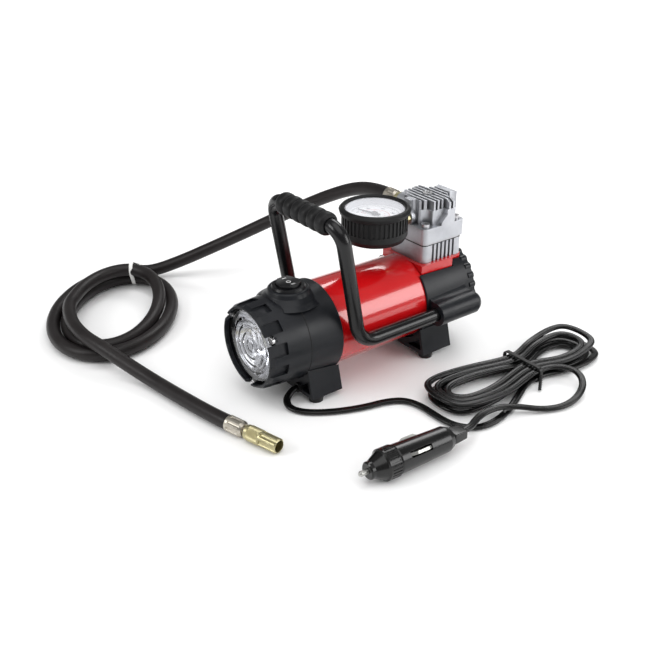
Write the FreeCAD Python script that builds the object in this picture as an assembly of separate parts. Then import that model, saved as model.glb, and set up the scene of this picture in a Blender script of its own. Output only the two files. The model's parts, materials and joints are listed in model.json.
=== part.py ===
import FreeCAD, Part
import math
import os

# A portable 12 V tire inflator with a work lamp. Lengths are millimetres and angles degrees.
# The lamp faces -Y, the body's axis runs along Y, and +Z is up. The origin is on the floor,
# under the middle of the inflator without its cord, hose and plug.

V = FreeCAD.Vector
X_AXIS = V(1, 0, 0)
Y_AXIS = V(0, 1, 0)
Z_AXIS = V(0, 0, 1)
ORIGIN = V(0, 0, 0)

# Fits
RUN = 0.05            # radial gap of a running fit
SEAT = 0.15           # gap between fixed pieces that nest
AIR = 0.3             # gap between a moving piece and what it passes

# Body
AXIS_Z = 42.0         # height of the body's axis over the floor
LAMP_LENGTH = 31.3    # rim to the seam with the front housing
HOUSING_LENGTH = 25.5
TUBE_SHOWN = 77.4     # painted tube between the housing and the rear cover
COVER_LENGTH = 49.8
LENGTH = LAMP_LENGTH + HOUSING_LENGTH + TUBE_SHOWN + COVER_LENGTH
FRONT = -LENGTH / 2
SEAM = FRONT + LAMP_LENGTH
HOUSING_END = SEAM + HOUSING_LENGTH
COVER_START = HOUSING_END + TUBE_SHOWN
COVER_END = COVER_START + COVER_LENGTH
SHELL = 2.3           # moulded wall
TUBE_R = 31.0         # painted motor tube, which sets the girth of what joins it
TUBE_WALL = 1.8

# Lamp
RIM_R = 28.4
RIM_BEVEL = 3.0
BEVEL_R = 29.9
SEAM_R = 31.65
LENS_R = 27.0
LENS_RECESS = 2.4     # rim to the lens flange
LENS_THICK = 3.0
LENS_LIP = 2.4        # width of the shelf behind the lens
SHELF_THICK = 2.2
LENS_RINGS = 4
POCKETS = 12
POCKET_WIDTH = 8.4
POCKET_LENGTH = 13.5
POCKET_FLOOR_R = 28.4
LENS_SCREWS = 3
LENS_SCREW_AT = 30.0  # angle of the first screw, from +X
LENS_SCREW_R = 1.3
LENS_SCREW_HEAD_R = 2.5
LENS_SCREW_HEAD = 1.8
LENS_SCREW_LENGTH = 5.0
NOTCH_WIDTH = 6.4
NOTCH_DEPTH = 7.4
REFLECTOR_DEPTH = 17.0
REFLECTOR_WALL = 1.0
REFLECTOR_THROAT_R = 7.5
LED_BOARD_R = 11.0
LED_BOARD_THICK = 1.6
LED_R = 3.4

# Front housing and its switch
HOUSING_R = TUBE_R + 3.0  # at its rear edge
SWITCH_BACK = 35.0    # switch axis behind the rim
SWITCH_BOSS_R = 14.2
SWITCH_BOSS_TOP = HOUSING_R + 1.4     # above the body's axis
SWITCH_HOLE_R = 10.0
BEZEL_R = 12.0
BEZEL_THICK = 1.7
BEZEL_OPENING_R = 8.8
SWITCH_BODY_DEPTH = 13.0
ROCKER_R = 8.3
ROCKER_RISE = 1.3     # rocker's middle above the bezel
ROCKER_DEPTH = 5.0
ROCKER_DISH = 26.0    # radius of the dished top
CORD_D = 4.4
CORD_X = 17.0         # where the power cord leaves the front foot
CORD_UP = 8.4
GLAND_R = 3.4
GLAND_STEM_R = 2.9
GLAND_OUT = 2.5

# Motor
TUBE_IN_HOUSING = 8.0
TUBE_IN_COVER = 2.0
MAGNET_WALL = 5.5
MAGNET_LENGTH = 50.0
MAGNET_ARC = 130.0
MAGNET_GAP = 1.05     # between the magnets and the armature
ARMATURE_R = TUBE_R - TUBE_WALL - RUN - MAGNET_WALL - MAGNET_GAP
CORE_LENGTH = 44.0
CORE_SLOTS = 10
CORE_SLOT_WIDTH = 2.6
CORE_SLOT_DEPTH = 8.0
CORE_BORE_R = 5.0
WINDING_LENGTH = 6.0
WINDING_R = ARMATURE_R - 2.6
COMMUTATOR_R = 8.0
COMMUTATOR_LENGTH = 10.0
COMMUTATOR_BARS = 10
SHAFT_R = 2.5
SHAFT_NOSE_R = 1.5    # where the pinion is pressed on
BEARING_R = 8.0
BEARING_WIDTH = 5.0
BRUSH_PLATE_THICK = 4.0
BRUSH_WIDTH = 5.0
BRUSH_LENGTH = 9.0

# Gears and crank
PINION_TEETH = 10
GEAR_TEETH = 40
GEAR_DROP = TUBE_R * 14.0 / 31.0      # leaves the big gear its room in the crankcase
MODULE = 2 * GEAR_DROP / (PINION_TEETH + GEAR_TEETH)
GEAR_WIDTH = 5.5
CRANK_R = GEAR_DROP / 2
CRANK_PIN_R = 2.6
GEAR_SHAFT_R = 3.0
GEAR_BUSH_R = GEAR_DROP - BEARING_R - 1.0

# Cylinder, piston and rod
HEAD_BACK = 24.8      # cylinder's axis behind the rear cover's front edge
HEAD_Y = COVER_START + HEAD_BACK
BORE_R = 11.0
LINER_WALL = 1.5
LINER_BOTTOM = 14.5   # above the body's axis, like the sizes that follow
DECK = 29.3           # top of the crankcase, where the cylinder block stands
BLOCK_TOP = 42.5
GASKET_THICK = 0.5
PLATE_THICK = 1.5
HEAD_BOTTOM = BLOCK_TOP + GASKET_THICK + PLATE_THICK
FLANGE_TOP = 56.0
FIN_ROOT = 67.0
HEAD_TOP = 74.0
HEAD_HALF_X = 20.0
HEAD_HALF_Y = 19.8
BLOCK_HALF_X = 19.0
BLOCK_HALF_Y = 18.8
CORNER_R = 4.0
SCREW_X = 14.6
SCREW_Y = 14.4
HEAD_SCREW_R = 1.8
HEAD_SCREW_CAP_R = 3.2
HEAD_SCREW_CAP = 2.6
SCOOP_R = 7.4         # round a rear screw
CORNER_CUT_X = 2.5    # slanted cut across a front corner: from here in the front face
CORNER_CUT_BACK = 14.5    # to here behind it in the side
SCREW_FLUTE_R = 5.4
FLUTE_R = 2.8
FLUTES_APART = 8.6
SIDE_SLOPE = 7.0      # the side wall's front edge leans back this far
FIN_THICK = 1.7
FIN_PITCH = 3.75
FINS = 9
BLOCK_GROOVES = 6
BLOCK_GROOVE_WIDTH = 2.0
BLOCK_GROOVE_DEPTH = 1.8
GUDGEON_Z = 35.5      # at top dead centre
GUDGEON_R = 1.5
PISTON_TOP = 42.1
PISTON_LENGTH = 13.0
PISTON_CROWN = 2.4
ROD_THICK = 5.0
ROD_BIG_R = 4.8
ROD_SMALL_R = 3.5
ROD_SHANK = 5.0

# Crankcase and rear cover
CASE_R = TUBE_R - 2.0
CAVITY_R = CASE_R - 2.4
CASE_WALL = 8.0       # front wall with the bearings
CASE_LENGTH = 42.0
PAD_HALF_X = 21.6     # wide part of the crankcase's top
PAD_LENGTH = 30.0
LUG_HALF_X = 17.6     # narrow part behind it
LUG_LENGTH = 11.0
PAD_SETBACK = 2.6     # crankcase's top behind the cover's front edge
WINDOW_GAP = 0.8
COVER_R = TUBE_R + 1.6
COVER_REAR_R = COVER_R - 1.3
COVER_END_THICK = 3.0
SCALLOPS = 28
SCALLOP_R = 3.0
SCALLOP_WIDTH = 4.6
SCALLOP_PROUD = 0.9
COVER_SCREWS = 3
COVER_SCREW_AT_R = 22.0
VENTS = 12
VENT_WIDTH = 2.6
VENT_LENGTH = 9.0

# Handle
HANDLE_X = COVER_R + 5.9
HANDLE_R = 5.0
HANDLE_WALL = 1.2
HANDLE_DROP = 2.0     # side runs below the body's axis
HANDLE_CORNER = 9.2   # lower corner behind the front housing
HANDLE_LEAN = 10.5    # legs lean forward
HANDLE_LOW_R = 17.0   # bend radii on the tube's axis
HANDLE_TOP_R = 12.0
GRIP_Z = 126.0
SOCKET_R = 8.6
SOCKET_LENGTH = 36.0
SOCKET_SETBACK = 2.3
SOCKET_DEPTH = 30.0
GRIP_R = 7.7
GRIP_GROOVE_R = 6.6
GRIP_RIBS = 6
GRIP_GROOVE = 1.5

# Feet
FOOT_LENGTH = 26.0
FOOT_HALF_BOTTOM = 32.0
FOOT_HALF_TOP = 27.5
FOOT_Z = 4.4          # underside of the foot over the floor
REAR_FOOT_BACK = -1.4 # start of the rear foot behind the cover's front edge
PAD_R = 5.6
PAD_X = 26.5
PAD_BACK = 7.0        # pad's middle behind the foot's front face
PAD_STEM_R = 2.4
PAD_STEM = 3.0
FOOT_RECESS = 4.0
FOOT_BORDER = 3.0

# Gauge
GAUGE_FORWARD = 49.5  # gauge axis ahead of the cylinder's
GAUGE_Y = HEAD_Y - GAUGE_FORWARD
GAUGE_TOP = 118.0     # top of the boot's rim over the floor
GAUGE_HEIGHT = 24.2
GLASS_R = 21.2
BOOT_R = 23.4
BOOT_RIM_R = 25.3
BOOT_RIM = 5.4
BOOT_WALL = 2.0
BOOT_RIBS = 44
BOOT_RIB_HEIGHT = 10.5
BOOT_RIB_DEPTH = 0.8
CASE_WALL_THICK = 1.0
DIAL_DROP = 7.0       # dial face below the rim's top
DIAL_THICK = 0.8
GLASS_DROP = 1.0
GLASS_THICK = 2.0
NEEDLE_AT = 195.0     # direction of the needle at rest, from +X
NEEDLE_LENGTH = 14.5
NEEDLE_TAIL = 4.0
NEEDLE_SPINDLE_R = 0.6
NEEDLE_SPINDLE = 6.0  # length under the dial
STEM_Z = 60.5         # above the body's axis
STEM_R = 3.6
STEM_HEX_R = 5.6

# Hose and its fittings
HOSE_D = 10.4
OUTLET_FORWARD = 6.0  # outlet ahead of the cylinder's axis
OUTLET_Z = 64.0       # above the body's axis
OUTLET_BOSS_R = 6.6
COLLAR_R = 5.9
COLLAR_LENGTH = 5.0
FERRULE_R = 5.7
FERRULE_LENGTH = 14.0
HEAD_FERRULE_LENGTH = 11.0
FERRULE_FLUTES = 8
CHUCK_R = 5.1
CHUCK_LENGTH = 27.5
CHUCK_NECK_R = 3.0
CHUCK_NECK = 2.0
CHUCK_BORE_R = 4.0
CHUCK_BORE = 12.0
CHUCK_HEADING = 14.5  # of the hose's free end on the floor, from +X

# Ties
TIE_WIDTH = 3.0
HANK_TIE_WIDTH = 3.0

# Plug
PLUG_X = 122.6
PLUG_TIP_Y = -93.8
PLUG_R = 10.4
PLUG_PIN_R = 1.8
PLUG_PIN_OUT = 6.0
PLUG_PIN_TRAVEL = 3.0
PLUG_NOSE_R = 5.8
PLUG_NOSE = 3.0
PLUG_CONE = 8.0
PLUG_BAND = 9.0
PLUG_BODY = 45.0
PLUG_BODY_R = 9.7
PLUG_BODY_REAR_R = 8.5
PLUG_WALL = 2.2
CONTACT_AT = 35.0     # direction of one side contact, from +X
CONTACT_LENGTH = 16.0
CONTACT_WIDTH = 3.6
CONTACT_PROUD = 1.0
CONTACT_TRAVEL = 1.4
CONTACT_BACK = 8.0    # contact behind the knurled band
PLUG_KNURLS = 28
PLUG_TURNED = 3.0     # clockwise from +Y, seen from above
RELIEF_LENGTH = 11.0
RELIEF_WIDTH = 8.0
RELIEF_HEIGHT = 6.4


def at_axis(x, y, z):
    """A point whose height is measured from the body's axis."""
    return V(x, y, AXIS_Z + z)


def polar(radius, angle, y):
    """A point at a radius and angle round the body's axis."""
    a = math.radians(angle)
    return at_axis(radius * math.cos(a), y, radius * math.sin(a))


def rod(radius, start, direction, length):
    return Part.makeCylinder(radius, length, start, direction)


def rod_y(radius, y0, y1, x=0.0, z=AXIS_Z):
    return Part.makeCylinder(radius, y1 - y0, V(x, y0, z), Y_AXIS)


def rod_z(radius, x, y, z0, z1):
    return Part.makeCylinder(radius, z1 - z0, V(x, y, z0), Z_AXIS)


def box(x0, x1, y0, y1, z0, z1):
    return Part.makeBox(x1 - x0, y1 - y0, z1 - z0, V(x0, y0, z0))


def rounded_box(half_x, half_y, z0, z1, radius, x=0.0, y=0.0):
    """An upright block with round corners, from four lines and four arcs."""
    cx = half_x - radius
    cy = half_y - radius
    middles = ((cx, cy, 0), (-cx, cy, 90), (-cx, -cy, 180), (cx, -cy, 270))
    edges = []
    for mx, my, start in middles:
        edges.append(Part.makeCircle(radius, V(x + mx, y + my, z0), Z_AXIS, start, start + 90))
    for one, other in zip(edges, edges[1:] + edges[:1]):
        edges = edges + [Part.makeLine(one.Vertexes[-1].Point, other.Vertexes[0].Point)]
    outline = Part.Wire(Part.__sortEdges__(edges))
    return Part.Face(outline).extrude(V(0, 0, z1 - z0))


def turned(points, centre, axis, across):
    """A solid of revolution. Each point is a radius and a distance along the axis."""
    places = [centre + across * r + axis * d for r, d in points]
    outline = Part.makePolygon(places + places[:1])
    return Part.Face(outline).revolve(centre, axis, 360)


def turned_y(points, x=0.0, z=AXIS_Z):
    """A solid of revolution about a line along Y. Each point is a radius and a Y."""
    return turned(points, V(x, 0, z), Y_AXIS, X_AXIS)


def joined(shapes):
    whole = shapes[0]
    for shape in shapes[1:]:
        whole = whole.fuse(shape)
    return whole.removeSplitter()


def group(shapes):
    return Part.makeCompound(shapes)


def around_y(shape, count, start=0.0):
    """Copies of a shape, spaced evenly round the body's axis."""
    copies = []
    for n in range(count):
        copy = shape.copy()
        copy.rotate(V(0, 0, AXIS_Z), Y_AXIS, -(start + 360.0 * n / count))
        copies.append(copy)
    return copies


def around_z(shape, count, x, y):
    copies = []
    for n in range(count):
        copy = shape.copy()
        copy.rotate(V(x, y, 0), Z_AXIS, 360.0 * n / count)
        copies.append(copy)
    return copies


def mirrored(shape):
    """The same piece on the other side of the body."""
    return shape.mirror(ORIGIN, X_AXIS)


def housing_r(y):
    """Outer radius of the lamp and front housing at a Y."""
    if y <= SEAM:
        share = (y - FRONT - RIM_BEVEL) / (LAMP_LENGTH - RIM_BEVEL)
        return BEVEL_R + (SEAM_R - BEVEL_R) * share
    return SEAM_R + (HOUSING_R - SEAM_R) * (y - SEAM) / HOUSING_LENGTH


SWITCH_Y = FRONT + SWITCH_BACK
BOSS_TOP_Z = AXIS_Z + SWITCH_BOSS_TOP
BEZEL_TOP_Z = BOSS_TOP_Z + BEZEL_THICK


def switch_way(radius):
    """The upright hole for the switch's body."""
    return rod_z(radius, 0, SWITCH_Y, AXIS_Z, BOSS_TOP_Z + 1)


# Lamp
def lens_screw_places(y):
    radius = LENS_R + LENS_SCREW_HEAD_R * 0.45
    return [polar(radius, LENS_SCREW_AT + 360.0 * n / LENS_SCREWS, y) for n in range(LENS_SCREWS)]


def lamp_housing():
    lens_back = LENS_RECESS + LENS_THICK
    shelf_back = lens_back + SHELF_THICK
    inner = LENS_R + SEAT
    shelf = LENS_R - LENS_LIP
    shell = turned_y([
        (inner, FRONT), (RIM_R, FRONT), (BEVEL_R, FRONT + RIM_BEVEL), (SEAM_R, SEAM),
        (SEAM_R - SHELL, SEAM), (inner, FRONT + shelf_back), (shelf, FRONT + shelf_back),
        (shelf, FRONT + lens_back), (inner, FRONT + lens_back)])
    pocket = box(POCKET_FLOOR_R, BEVEL_R + SHELL, FRONT - 1, FRONT + POCKET_LENGTH,
                 AXIS_Z - POCKET_WIDTH / 2, AXIS_Z + POCKET_WIDTH / 2)
    shell = shell.cut(around_y(pocket, POCKETS, 180.0 / POCKETS))
    notch = box(LENS_R - LENS_LIP / 2, BEVEL_R + SHELL, FRONT - 1, FRONT + NOTCH_DEPTH - SHELF_THICK,
                AXIS_Z - NOTCH_WIDTH / 2, AXIS_Z + NOTCH_WIDTH / 2)
    shell = shell.cut(around_y(notch, LENS_SCREWS, LENS_SCREW_AT))
    seat = FRONT + NOTCH_DEPTH - SHELF_THICK
    for place in lens_screw_places(seat):
        shell = shell.fuse(rod(LENS_SCREW_HEAD_R, place, Y_AXIS, SHELF_THICK))
        shell = shell.cut(rod(LENS_SCREW_R + SEAT, place - Y_AXIS, Y_AXIS, LENS_SCREW_LENGTH + 2))
    shell = shell.cut(switch_way(SWITCH_HOLE_R + SEAT))
    return shell.removeSplitter()


def lamp_lens():
    front = FRONT + LENS_RECESS
    back = front + LENS_THICK
    disc = turned_y([
        (0, front - 1.0), (LENS_R * 0.45, front - 0.8), (LENS_R * 0.86, front), (LENS_R, front + 0.8),
        (LENS_R, back), (0, back)])
    step = (LENS_R - LENS_LIP - 4) / LENS_RINGS
    for n in range(LENS_RINGS):
        r = 3.0 + n * step
        ring = turned_y([(r, back - 0.9), (r + step * 0.75, back + 1), (r, back + 1)])
        disc = disc.cut(ring)
    cuts = [rod(LENS_SCREW_HEAD_R + SEAT, p - Y_AXIS * 4, Y_AXIS, 12) for p in lens_screw_places(front)]
    return disc.cut(cuts)


def lamp_reflector():
    """A bowl with a parabola's section, open at its throat for the lamp."""
    mouth = FRONT + LENS_RECESS + LENS_THICK + AIR + SHELF_THICK
    rim = LENS_R - LENS_LIP - SEAT * 2
    outside = []
    inside = []
    steps = 7
    for n in range(steps + 1):
        r = REFLECTOR_THROAT_R + (rim - REFLECTOR_THROAT_R) * n / steps
        depth = REFLECTOR_DEPTH * (1 - ((r - REFLECTOR_THROAT_R) / (rim - REFLECTOR_THROAT_R)) ** 2)
        inside.append((r - REFLECTOR_WALL, mouth + depth))
        outside.append((r, mouth + depth + REFLECTOR_WALL * 0.5))
    return turned_y(inside + outside[::-1])


def led_module():
    back = FRONT + LENS_RECESS + LENS_THICK + AIR + SHELF_THICK + REFLECTOR_DEPTH + REFLECTOR_WALL
    board = rod_y(LED_BOARD_R, back, back + LED_BOARD_THICK)
    emitter = rod_y(LED_R, back - 1.5, back)
    dome = Part.makeSphere(LED_R * 0.9, V(0, back - 1.5, AXIS_Z))
    heat_sink = rod_y(LED_BOARD_R - 2, back + LED_BOARD_THICK, SEAM + 3)
    dome = dome.common(rod_y(LED_R, back - 6, back - 1.0))
    return joined([board, emitter, dome, heat_sink])


def lens_screws():
    seat = FRONT + NOTCH_DEPTH - SHELF_THICK
    screws = []
    for place in lens_screw_places(seat):
        head = rod(LENS_SCREW_HEAD_R, place - Y_AXIS * LENS_SCREW_HEAD, Y_AXIS, LENS_SCREW_HEAD)
        slot = Part.makeBox(LENS_SCREW_HEAD_R * 1.5, 0.8, 0.6,
                            place + V(-LENS_SCREW_HEAD_R * 0.75, -LENS_SCREW_HEAD, -0.3))
        shank = rod(LENS_SCREW_R, place, Y_AXIS, LENS_SCREW_LENGTH)
        screws.append(head.fuse(shank).cut(slot))
    return group(screws)


# Front housing and switch
def tube_start():
    return HOUSING_END - TUBE_IN_HOUSING


def front_housing():
    """The shell that holds the motor tube's front end, with the switch boss on top."""
    start = tube_start()
    thin = TUBE_R + SEAT
    shell = turned_y([
        (SEAM_R, SEAM), (HOUSING_R - 0.6, HOUSING_END - 0.6), (HOUSING_R - 0.9, HOUSING_END),
        (thin, HOUSING_END), (thin, start - SEAT), (SEAM_R - SHELL, start - SEAT),
        (SEAM_R - SHELL, SEAM)])
    r = SWITCH_BOSS_R
    boss = turned([(0, BOSS_TOP_Z), (r - 0.8, BOSS_TOP_Z), (r, BOSS_TOP_Z - 0.8), (r + 1.2, BOSS_TOP_Z - 3.4),
                   (r + 4.2, BOSS_TOP_Z - 6.4), (r + 8.4, BOSS_TOP_Z - 9.0), (0, BOSS_TOP_Z - 9.0)],
                  V(0, SWITCH_Y, 0), Z_AXIS, X_AXIS)
    lamp = turned_y([(0, FRONT), (BEVEL_R + SEAT, FRONT + RIM_BEVEL), (SEAM_R + SEAT, SEAM),
                     (SEAM_R - SHELL, SEAM), (SEAM_R - SHELL, HOUSING_END), (0, HOUSING_END)])
    boss = boss.cut([lamp, rod_y(thin, start - SEAT, HOUSING_END + 1)])
    shell = shell.fuse(boss).cut(switch_way(SWITCH_HOLE_R))
    return shell.removeSplitter()


def switch_bezel():
    """The switch's collar and the body below it, with a pocket for the rocker."""
    collar = Part.makeCone(BEZEL_R, BEZEL_R - 1.0, BEZEL_THICK, V(0, SWITCH_Y, BOSS_TOP_Z), Z_AXIS)
    barrel = rod_z(SWITCH_HOLE_R - SEAT, 0, SWITCH_Y, BOSS_TOP_Z - SWITCH_BODY_DEPTH, BOSS_TOP_Z)
    pocket = rod_z(BEZEL_OPENING_R, 0, SWITCH_Y, BEZEL_TOP_Z - 8.5, BEZEL_TOP_Z + 1)
    blades = [box(x - 0.4, x + 0.4, SWITCH_Y - 2.4, SWITCH_Y + 2.4,
                  BOSS_TOP_Z - SWITCH_BODY_DEPTH - 6, BOSS_TOP_Z - SWITCH_BODY_DEPTH + 1)
              for x in (-5, 0, 5)]
    return joined([collar.fuse(barrel).cut(pocket)] + blades)


def switch_rocker():
    """A round rocker that tips to either side about an axis along Y."""
    disc = rod_z(ROCKER_R, 0, SWITCH_Y, BEZEL_TOP_Z + ROCKER_RISE - ROCKER_DEPTH,
                 BEZEL_TOP_Z + ROCKER_RISE + 1.2)
    dish = Part.makeCylinder(ROCKER_DISH, 40, V(0, SWITCH_Y - 20, BEZEL_TOP_Z + ROCKER_RISE + ROCKER_DISH), Y_AXIS)
    keel = Part.makeCylinder(ROCKER_R, 40, V(0, SWITCH_Y - 20, BEZEL_TOP_Z - 1.5), Y_AXIS)
    return disc.cut(dish).common(keel)


# Motor
CASE_FRONT = COVER_START - TUBE_IN_COVER - CASE_WALL + 6.0
CORE_START = tube_start() + 28.0
CORE_END = CORE_START + CORE_LENGTH
BRUSH_Y = CORE_START - WINDING_LENGTH - COMMUTATOR_LENGTH / 2 - 1.0
TUBE_END = COVER_START + TUBE_IN_COVER
WALL_BACK = TUBE_END + 2.0
ROD_FRONT = HEAD_Y - ROD_THICK / 2
GEAR_BACK = ROD_FRONT - 3.0
GEAR_FRONT = GEAR_BACK - GEAR_WIDTH
GEAR_Z = -GEAR_DROP


def motor_tube():
    return turned_y([(TUBE_R, tube_start()), (TUBE_R, TUBE_END),
                     (TUBE_R - TUBE_WALL, TUBE_END), (TUBE_R - TUBE_WALL, tube_start())])


def motor_magnets():
    outer = TUBE_R - TUBE_WALL - RUN
    middle = (CORE_START + CORE_END) / 2
    ring = turned_y([(outer, middle - MAGNET_LENGTH / 2), (outer, middle + MAGNET_LENGTH / 2),
                     (outer - MAGNET_WALL, middle + MAGNET_LENGTH / 2),
                     (outer - MAGNET_WALL, middle - MAGNET_LENGTH / 2)])
    gap_half = outer * math.sin(math.radians(90 - MAGNET_ARC / 2))
    return ring.cut(box(-gap_half, gap_half, middle - 60, middle + 60, 0, 2 * AXIS_Z))


def armature_core():
    core = rod_y(ARMATURE_R, CORE_START, CORE_END)
    core = core.cut(rod_y(SHAFT_R, CORE_START - 1, CORE_END + 1))
    slot = box(ARMATURE_R - CORE_SLOT_DEPTH, ARMATURE_R + 1, CORE_START - 1, CORE_END + 1,
               AXIS_Z - CORE_SLOT_WIDTH / 2, AXIS_Z + CORE_SLOT_WIDTH / 2)
    return core.cut(around_y(slot, CORE_SLOTS))


def armature_windings():
    """The end turns at both ends of the core, and the wire that fills its slots."""
    front = turned_y([(CORE_BORE_R, CORE_START), (WINDING_R, CORE_START),
                      (WINDING_R - 3, CORE_START - WINDING_LENGTH),
                      (CORE_BORE_R + 1, CORE_START - WINDING_LENGTH)])
    rear = turned_y([(CORE_BORE_R, CORE_END), (WINDING_R, CORE_END),
                     (WINDING_R - 3, CORE_END + WINDING_LENGTH),
                     (CORE_BORE_R + 1, CORE_END + WINDING_LENGTH)])
    fill = box(ARMATURE_R - CORE_SLOT_DEPTH + SEAT, ARMATURE_R - 3.2, CORE_START, CORE_END,
               AXIS_Z - CORE_SLOT_WIDTH / 2 + SEAT, AXIS_Z + CORE_SLOT_WIDTH / 2 - SEAT)
    return joined([front, rear] + around_y(fill, CORE_SLOTS))


def commutator():
    y0 = BRUSH_Y - COMMUTATOR_LENGTH / 2
    drum = rod_y(COMMUTATOR_R, y0, y0 + COMMUTATOR_LENGTH).cut(rod_y(SHAFT_R, y0 - 1, CORE_START))
    gap = box(COMMUTATOR_R - 1, COMMUTATOR_R + 1, y0 - 1, y0 + COMMUTATOR_LENGTH + 1,
              AXIS_Z - 0.25, AXIS_Z + 0.25)
    return drum.cut(around_y(gap, COMMUTATOR_BARS))


def motor_shaft():
    front = tube_start() + AIR
    nose = GEAR_FRONT - AIR
    return rod_y(SHAFT_R, front, nose).fuse(rod_y(SHAFT_NOSE_R, nose, GEAR_BACK)).removeSplitter()


def gear_outline(teeth, y, angle, x=0.0, z=AXIS_Z):
    """A spur gear's outline, with flanks thinned a little so that the pair runs free."""
    pitch = MODULE * teeth / 2
    tip = pitch + MODULE * 0.9
    root = pitch - MODULE * 1.2
    half = 90.0 / teeth
    marks = ((root, -1.45), (pitch, -0.78), (tip, -0.35), (tip, 0.35), (pitch, 0.78), (root, 1.45))
    points = []
    for n in range(teeth):
        for radius, share in marks:
            a = math.radians(angle + 360.0 * n / teeth + share * half * 0.9)
            points.append(V(x + radius * math.cos(a), y, z + radius * math.sin(a)))
    return Part.Face(Part.makePolygon(points + points[:1]))


def drive_pinion():
    blank = gear_outline(PINION_TEETH, GEAR_FRONT, 270.0).extrude(V(0, GEAR_WIDTH, 0))
    return blank.cut(rod_y(SHAFT_NOSE_R, GEAR_FRONT - 1, GEAR_BACK + 1))


def crank_gear():
    """The big gear with its stub shaft in front and the crank pin behind."""
    z = AXIS_Z + GEAR_Z
    blank = gear_outline(GEAR_TEETH, GEAR_FRONT, 90.0 + 180.0 / GEAR_TEETH, z=z)
    blank = blank.extrude(V(0, GEAR_WIDTH, 0))
    dish = turned_y([(9.6, GEAR_FRONT - 1), (9.6, GEAR_FRONT + 1.2), (5.0, GEAR_FRONT + 1.2),
                     (5.0, GEAR_FRONT - 1)], z=z)
    shaft = rod_y(GEAR_SHAFT_R, WALL_BACK - CASE_WALL, GEAR_FRONT + 1, z=z)
    pin = rod_y(CRANK_PIN_R, GEAR_BACK - 1, ROD_FRONT - AIR, z=z + CRANK_R)
    return joined([blank.cut(dish), shaft, pin])


def motor_bearings():
    """Two ball bearings on the motor shaft and the bronze bush of the crank gear."""
    seats = ((tube_start() + 2.0, SHAFT_R, BEARING_R, BEARING_WIDTH, 0.0),
             (WALL_BACK - CASE_WALL + 1.0, SHAFT_R, BEARING_R, BEARING_WIDTH, 0.0),
             (WALL_BACK - CASE_WALL + 0.5, GEAR_SHAFT_R, GEAR_BUSH_R, CASE_WALL - 0.5, GEAR_Z))
    rings = []
    for y, inner, outer, width, drop in seats:
        z = AXIS_Z + drop
        rings.append(rod_y(outer, y, y + width, z=z).cut(rod_y(inner + RUN, y - 1, y + width + 1, z=z)))
    return group(rings)


def brush_plate():
    """The plate that closes the tube's front end and carries the brushes and a bearing."""
    y0 = tube_start()
    plate = rod_y(TUBE_R - TUBE_WALL - SEAT, y0, y0 + BRUSH_PLATE_THICK + 4)
    plate = plate.cut(rod_y(BEARING_R + SEAT, y0 + 2, y0 + 20))
    plate = plate.cut(rod_y(SHAFT_R + AIR, y0 - 1, y0 + 20))
    holders = []
    for side in (-1, 1):
        x0 = COMMUTATOR_R + 3.0
        x1 = COMMUTATOR_R + BRUSH_LENGTH + 3.5
        span = sorted((side * x0, side * x1))
        y1 = BRUSH_Y + BRUSH_WIDTH / 2 + 1.2
        holder = box(span[0], span[1], y0 + BRUSH_PLATE_THICK, y1,
                     AXIS_Z - BRUSH_WIDTH / 2 - 1.4, AXIS_Z + BRUSH_WIDTH / 2 + 1.4)
        channel = box(span[0] - 1, span[1] + 1, BRUSH_Y - BRUSH_WIDTH / 2 - SEAT,
                      BRUSH_Y + BRUSH_WIDTH / 2 + SEAT,
                      AXIS_Z - BRUSH_WIDTH / 2 - SEAT, AXIS_Z + BRUSH_WIDTH / 2 + SEAT)
        holders.append(holder.cut(channel))
    return joined([plate] + holders)


def carbon_brushes():
    brushes = []
    for side in (-1, 1):
        span = sorted((side * (COMMUTATOR_R + AIR), side * (COMMUTATOR_R + BRUSH_LENGTH)))
        brushes.append(box(span[0], span[1], BRUSH_Y - BRUSH_WIDTH / 2, BRUSH_Y + BRUSH_WIDTH / 2,
                           AXIS_Z - BRUSH_WIDTH / 2, AXIS_Z + BRUSH_WIDTH / 2))
    return group(brushes)


# Compressor
def head_screw_places(z):
    return [V(sx * SCREW_X, HEAD_Y + sy * SCREW_Y, z) for sx in (-1, 1) for sy in (-1, 1)]


def screw_holes(z0, z1):
    return [rod_z(HEAD_SCREW_R + SEAT, p.x, p.y, z0, z1) for p in head_screw_places(0)]


def crankcase():
    """The red casting behind the motor, which holds the gears and carries the cylinder."""
    back = WALL_BACK - CASE_WALL + CASE_LENGTH
    front = WALL_BACK - CASE_WALL
    deck = AXIS_Z + DECK
    spigot = rod_y(TUBE_R - TUBE_WALL - SEAT, front, WALL_BACK)
    drum = rod_y(CASE_R, WALL_BACK - 1, back)
    pad_start = COVER_START + PAD_SETBACK
    pad = box(-PAD_HALF_X, PAD_HALF_X, pad_start, pad_start + PAD_LENGTH, AXIS_Z + 8, deck)
    lug = box(-LUG_HALF_X, LUG_HALF_X, pad_start, pad_start + PAD_LENGTH + LUG_LENGTH, AXIS_Z + 8, deck)
    case = joined([spigot, drum, pad, lug])
    case = case.cut(rod_y(CAVITY_R, WALL_BACK, back + 1))
    case = case.cut(box(-CASE_R, CASE_R, pad_start, back + 1, deck, deck + 20))
    case = case.cut(rod_z(BORE_R + LINER_WALL + SEAT, 0, HEAD_Y, AXIS_Z, deck + 1))
    case = case.cut(rod_y(BEARING_R + SEAT, front - 1, front + BEARING_WIDTH + 1.5))
    case = case.cut(rod_y(SHAFT_R + AIR, front - 1, WALL_BACK + 1))
    case = case.cut(rod_y(GEAR_BUSH_R + RUN, front - 1, WALL_BACK + 1, z=AXIS_Z + GEAR_Z))
    return case.cut(screw_holes(deck - 9.0, deck + 1))


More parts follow.
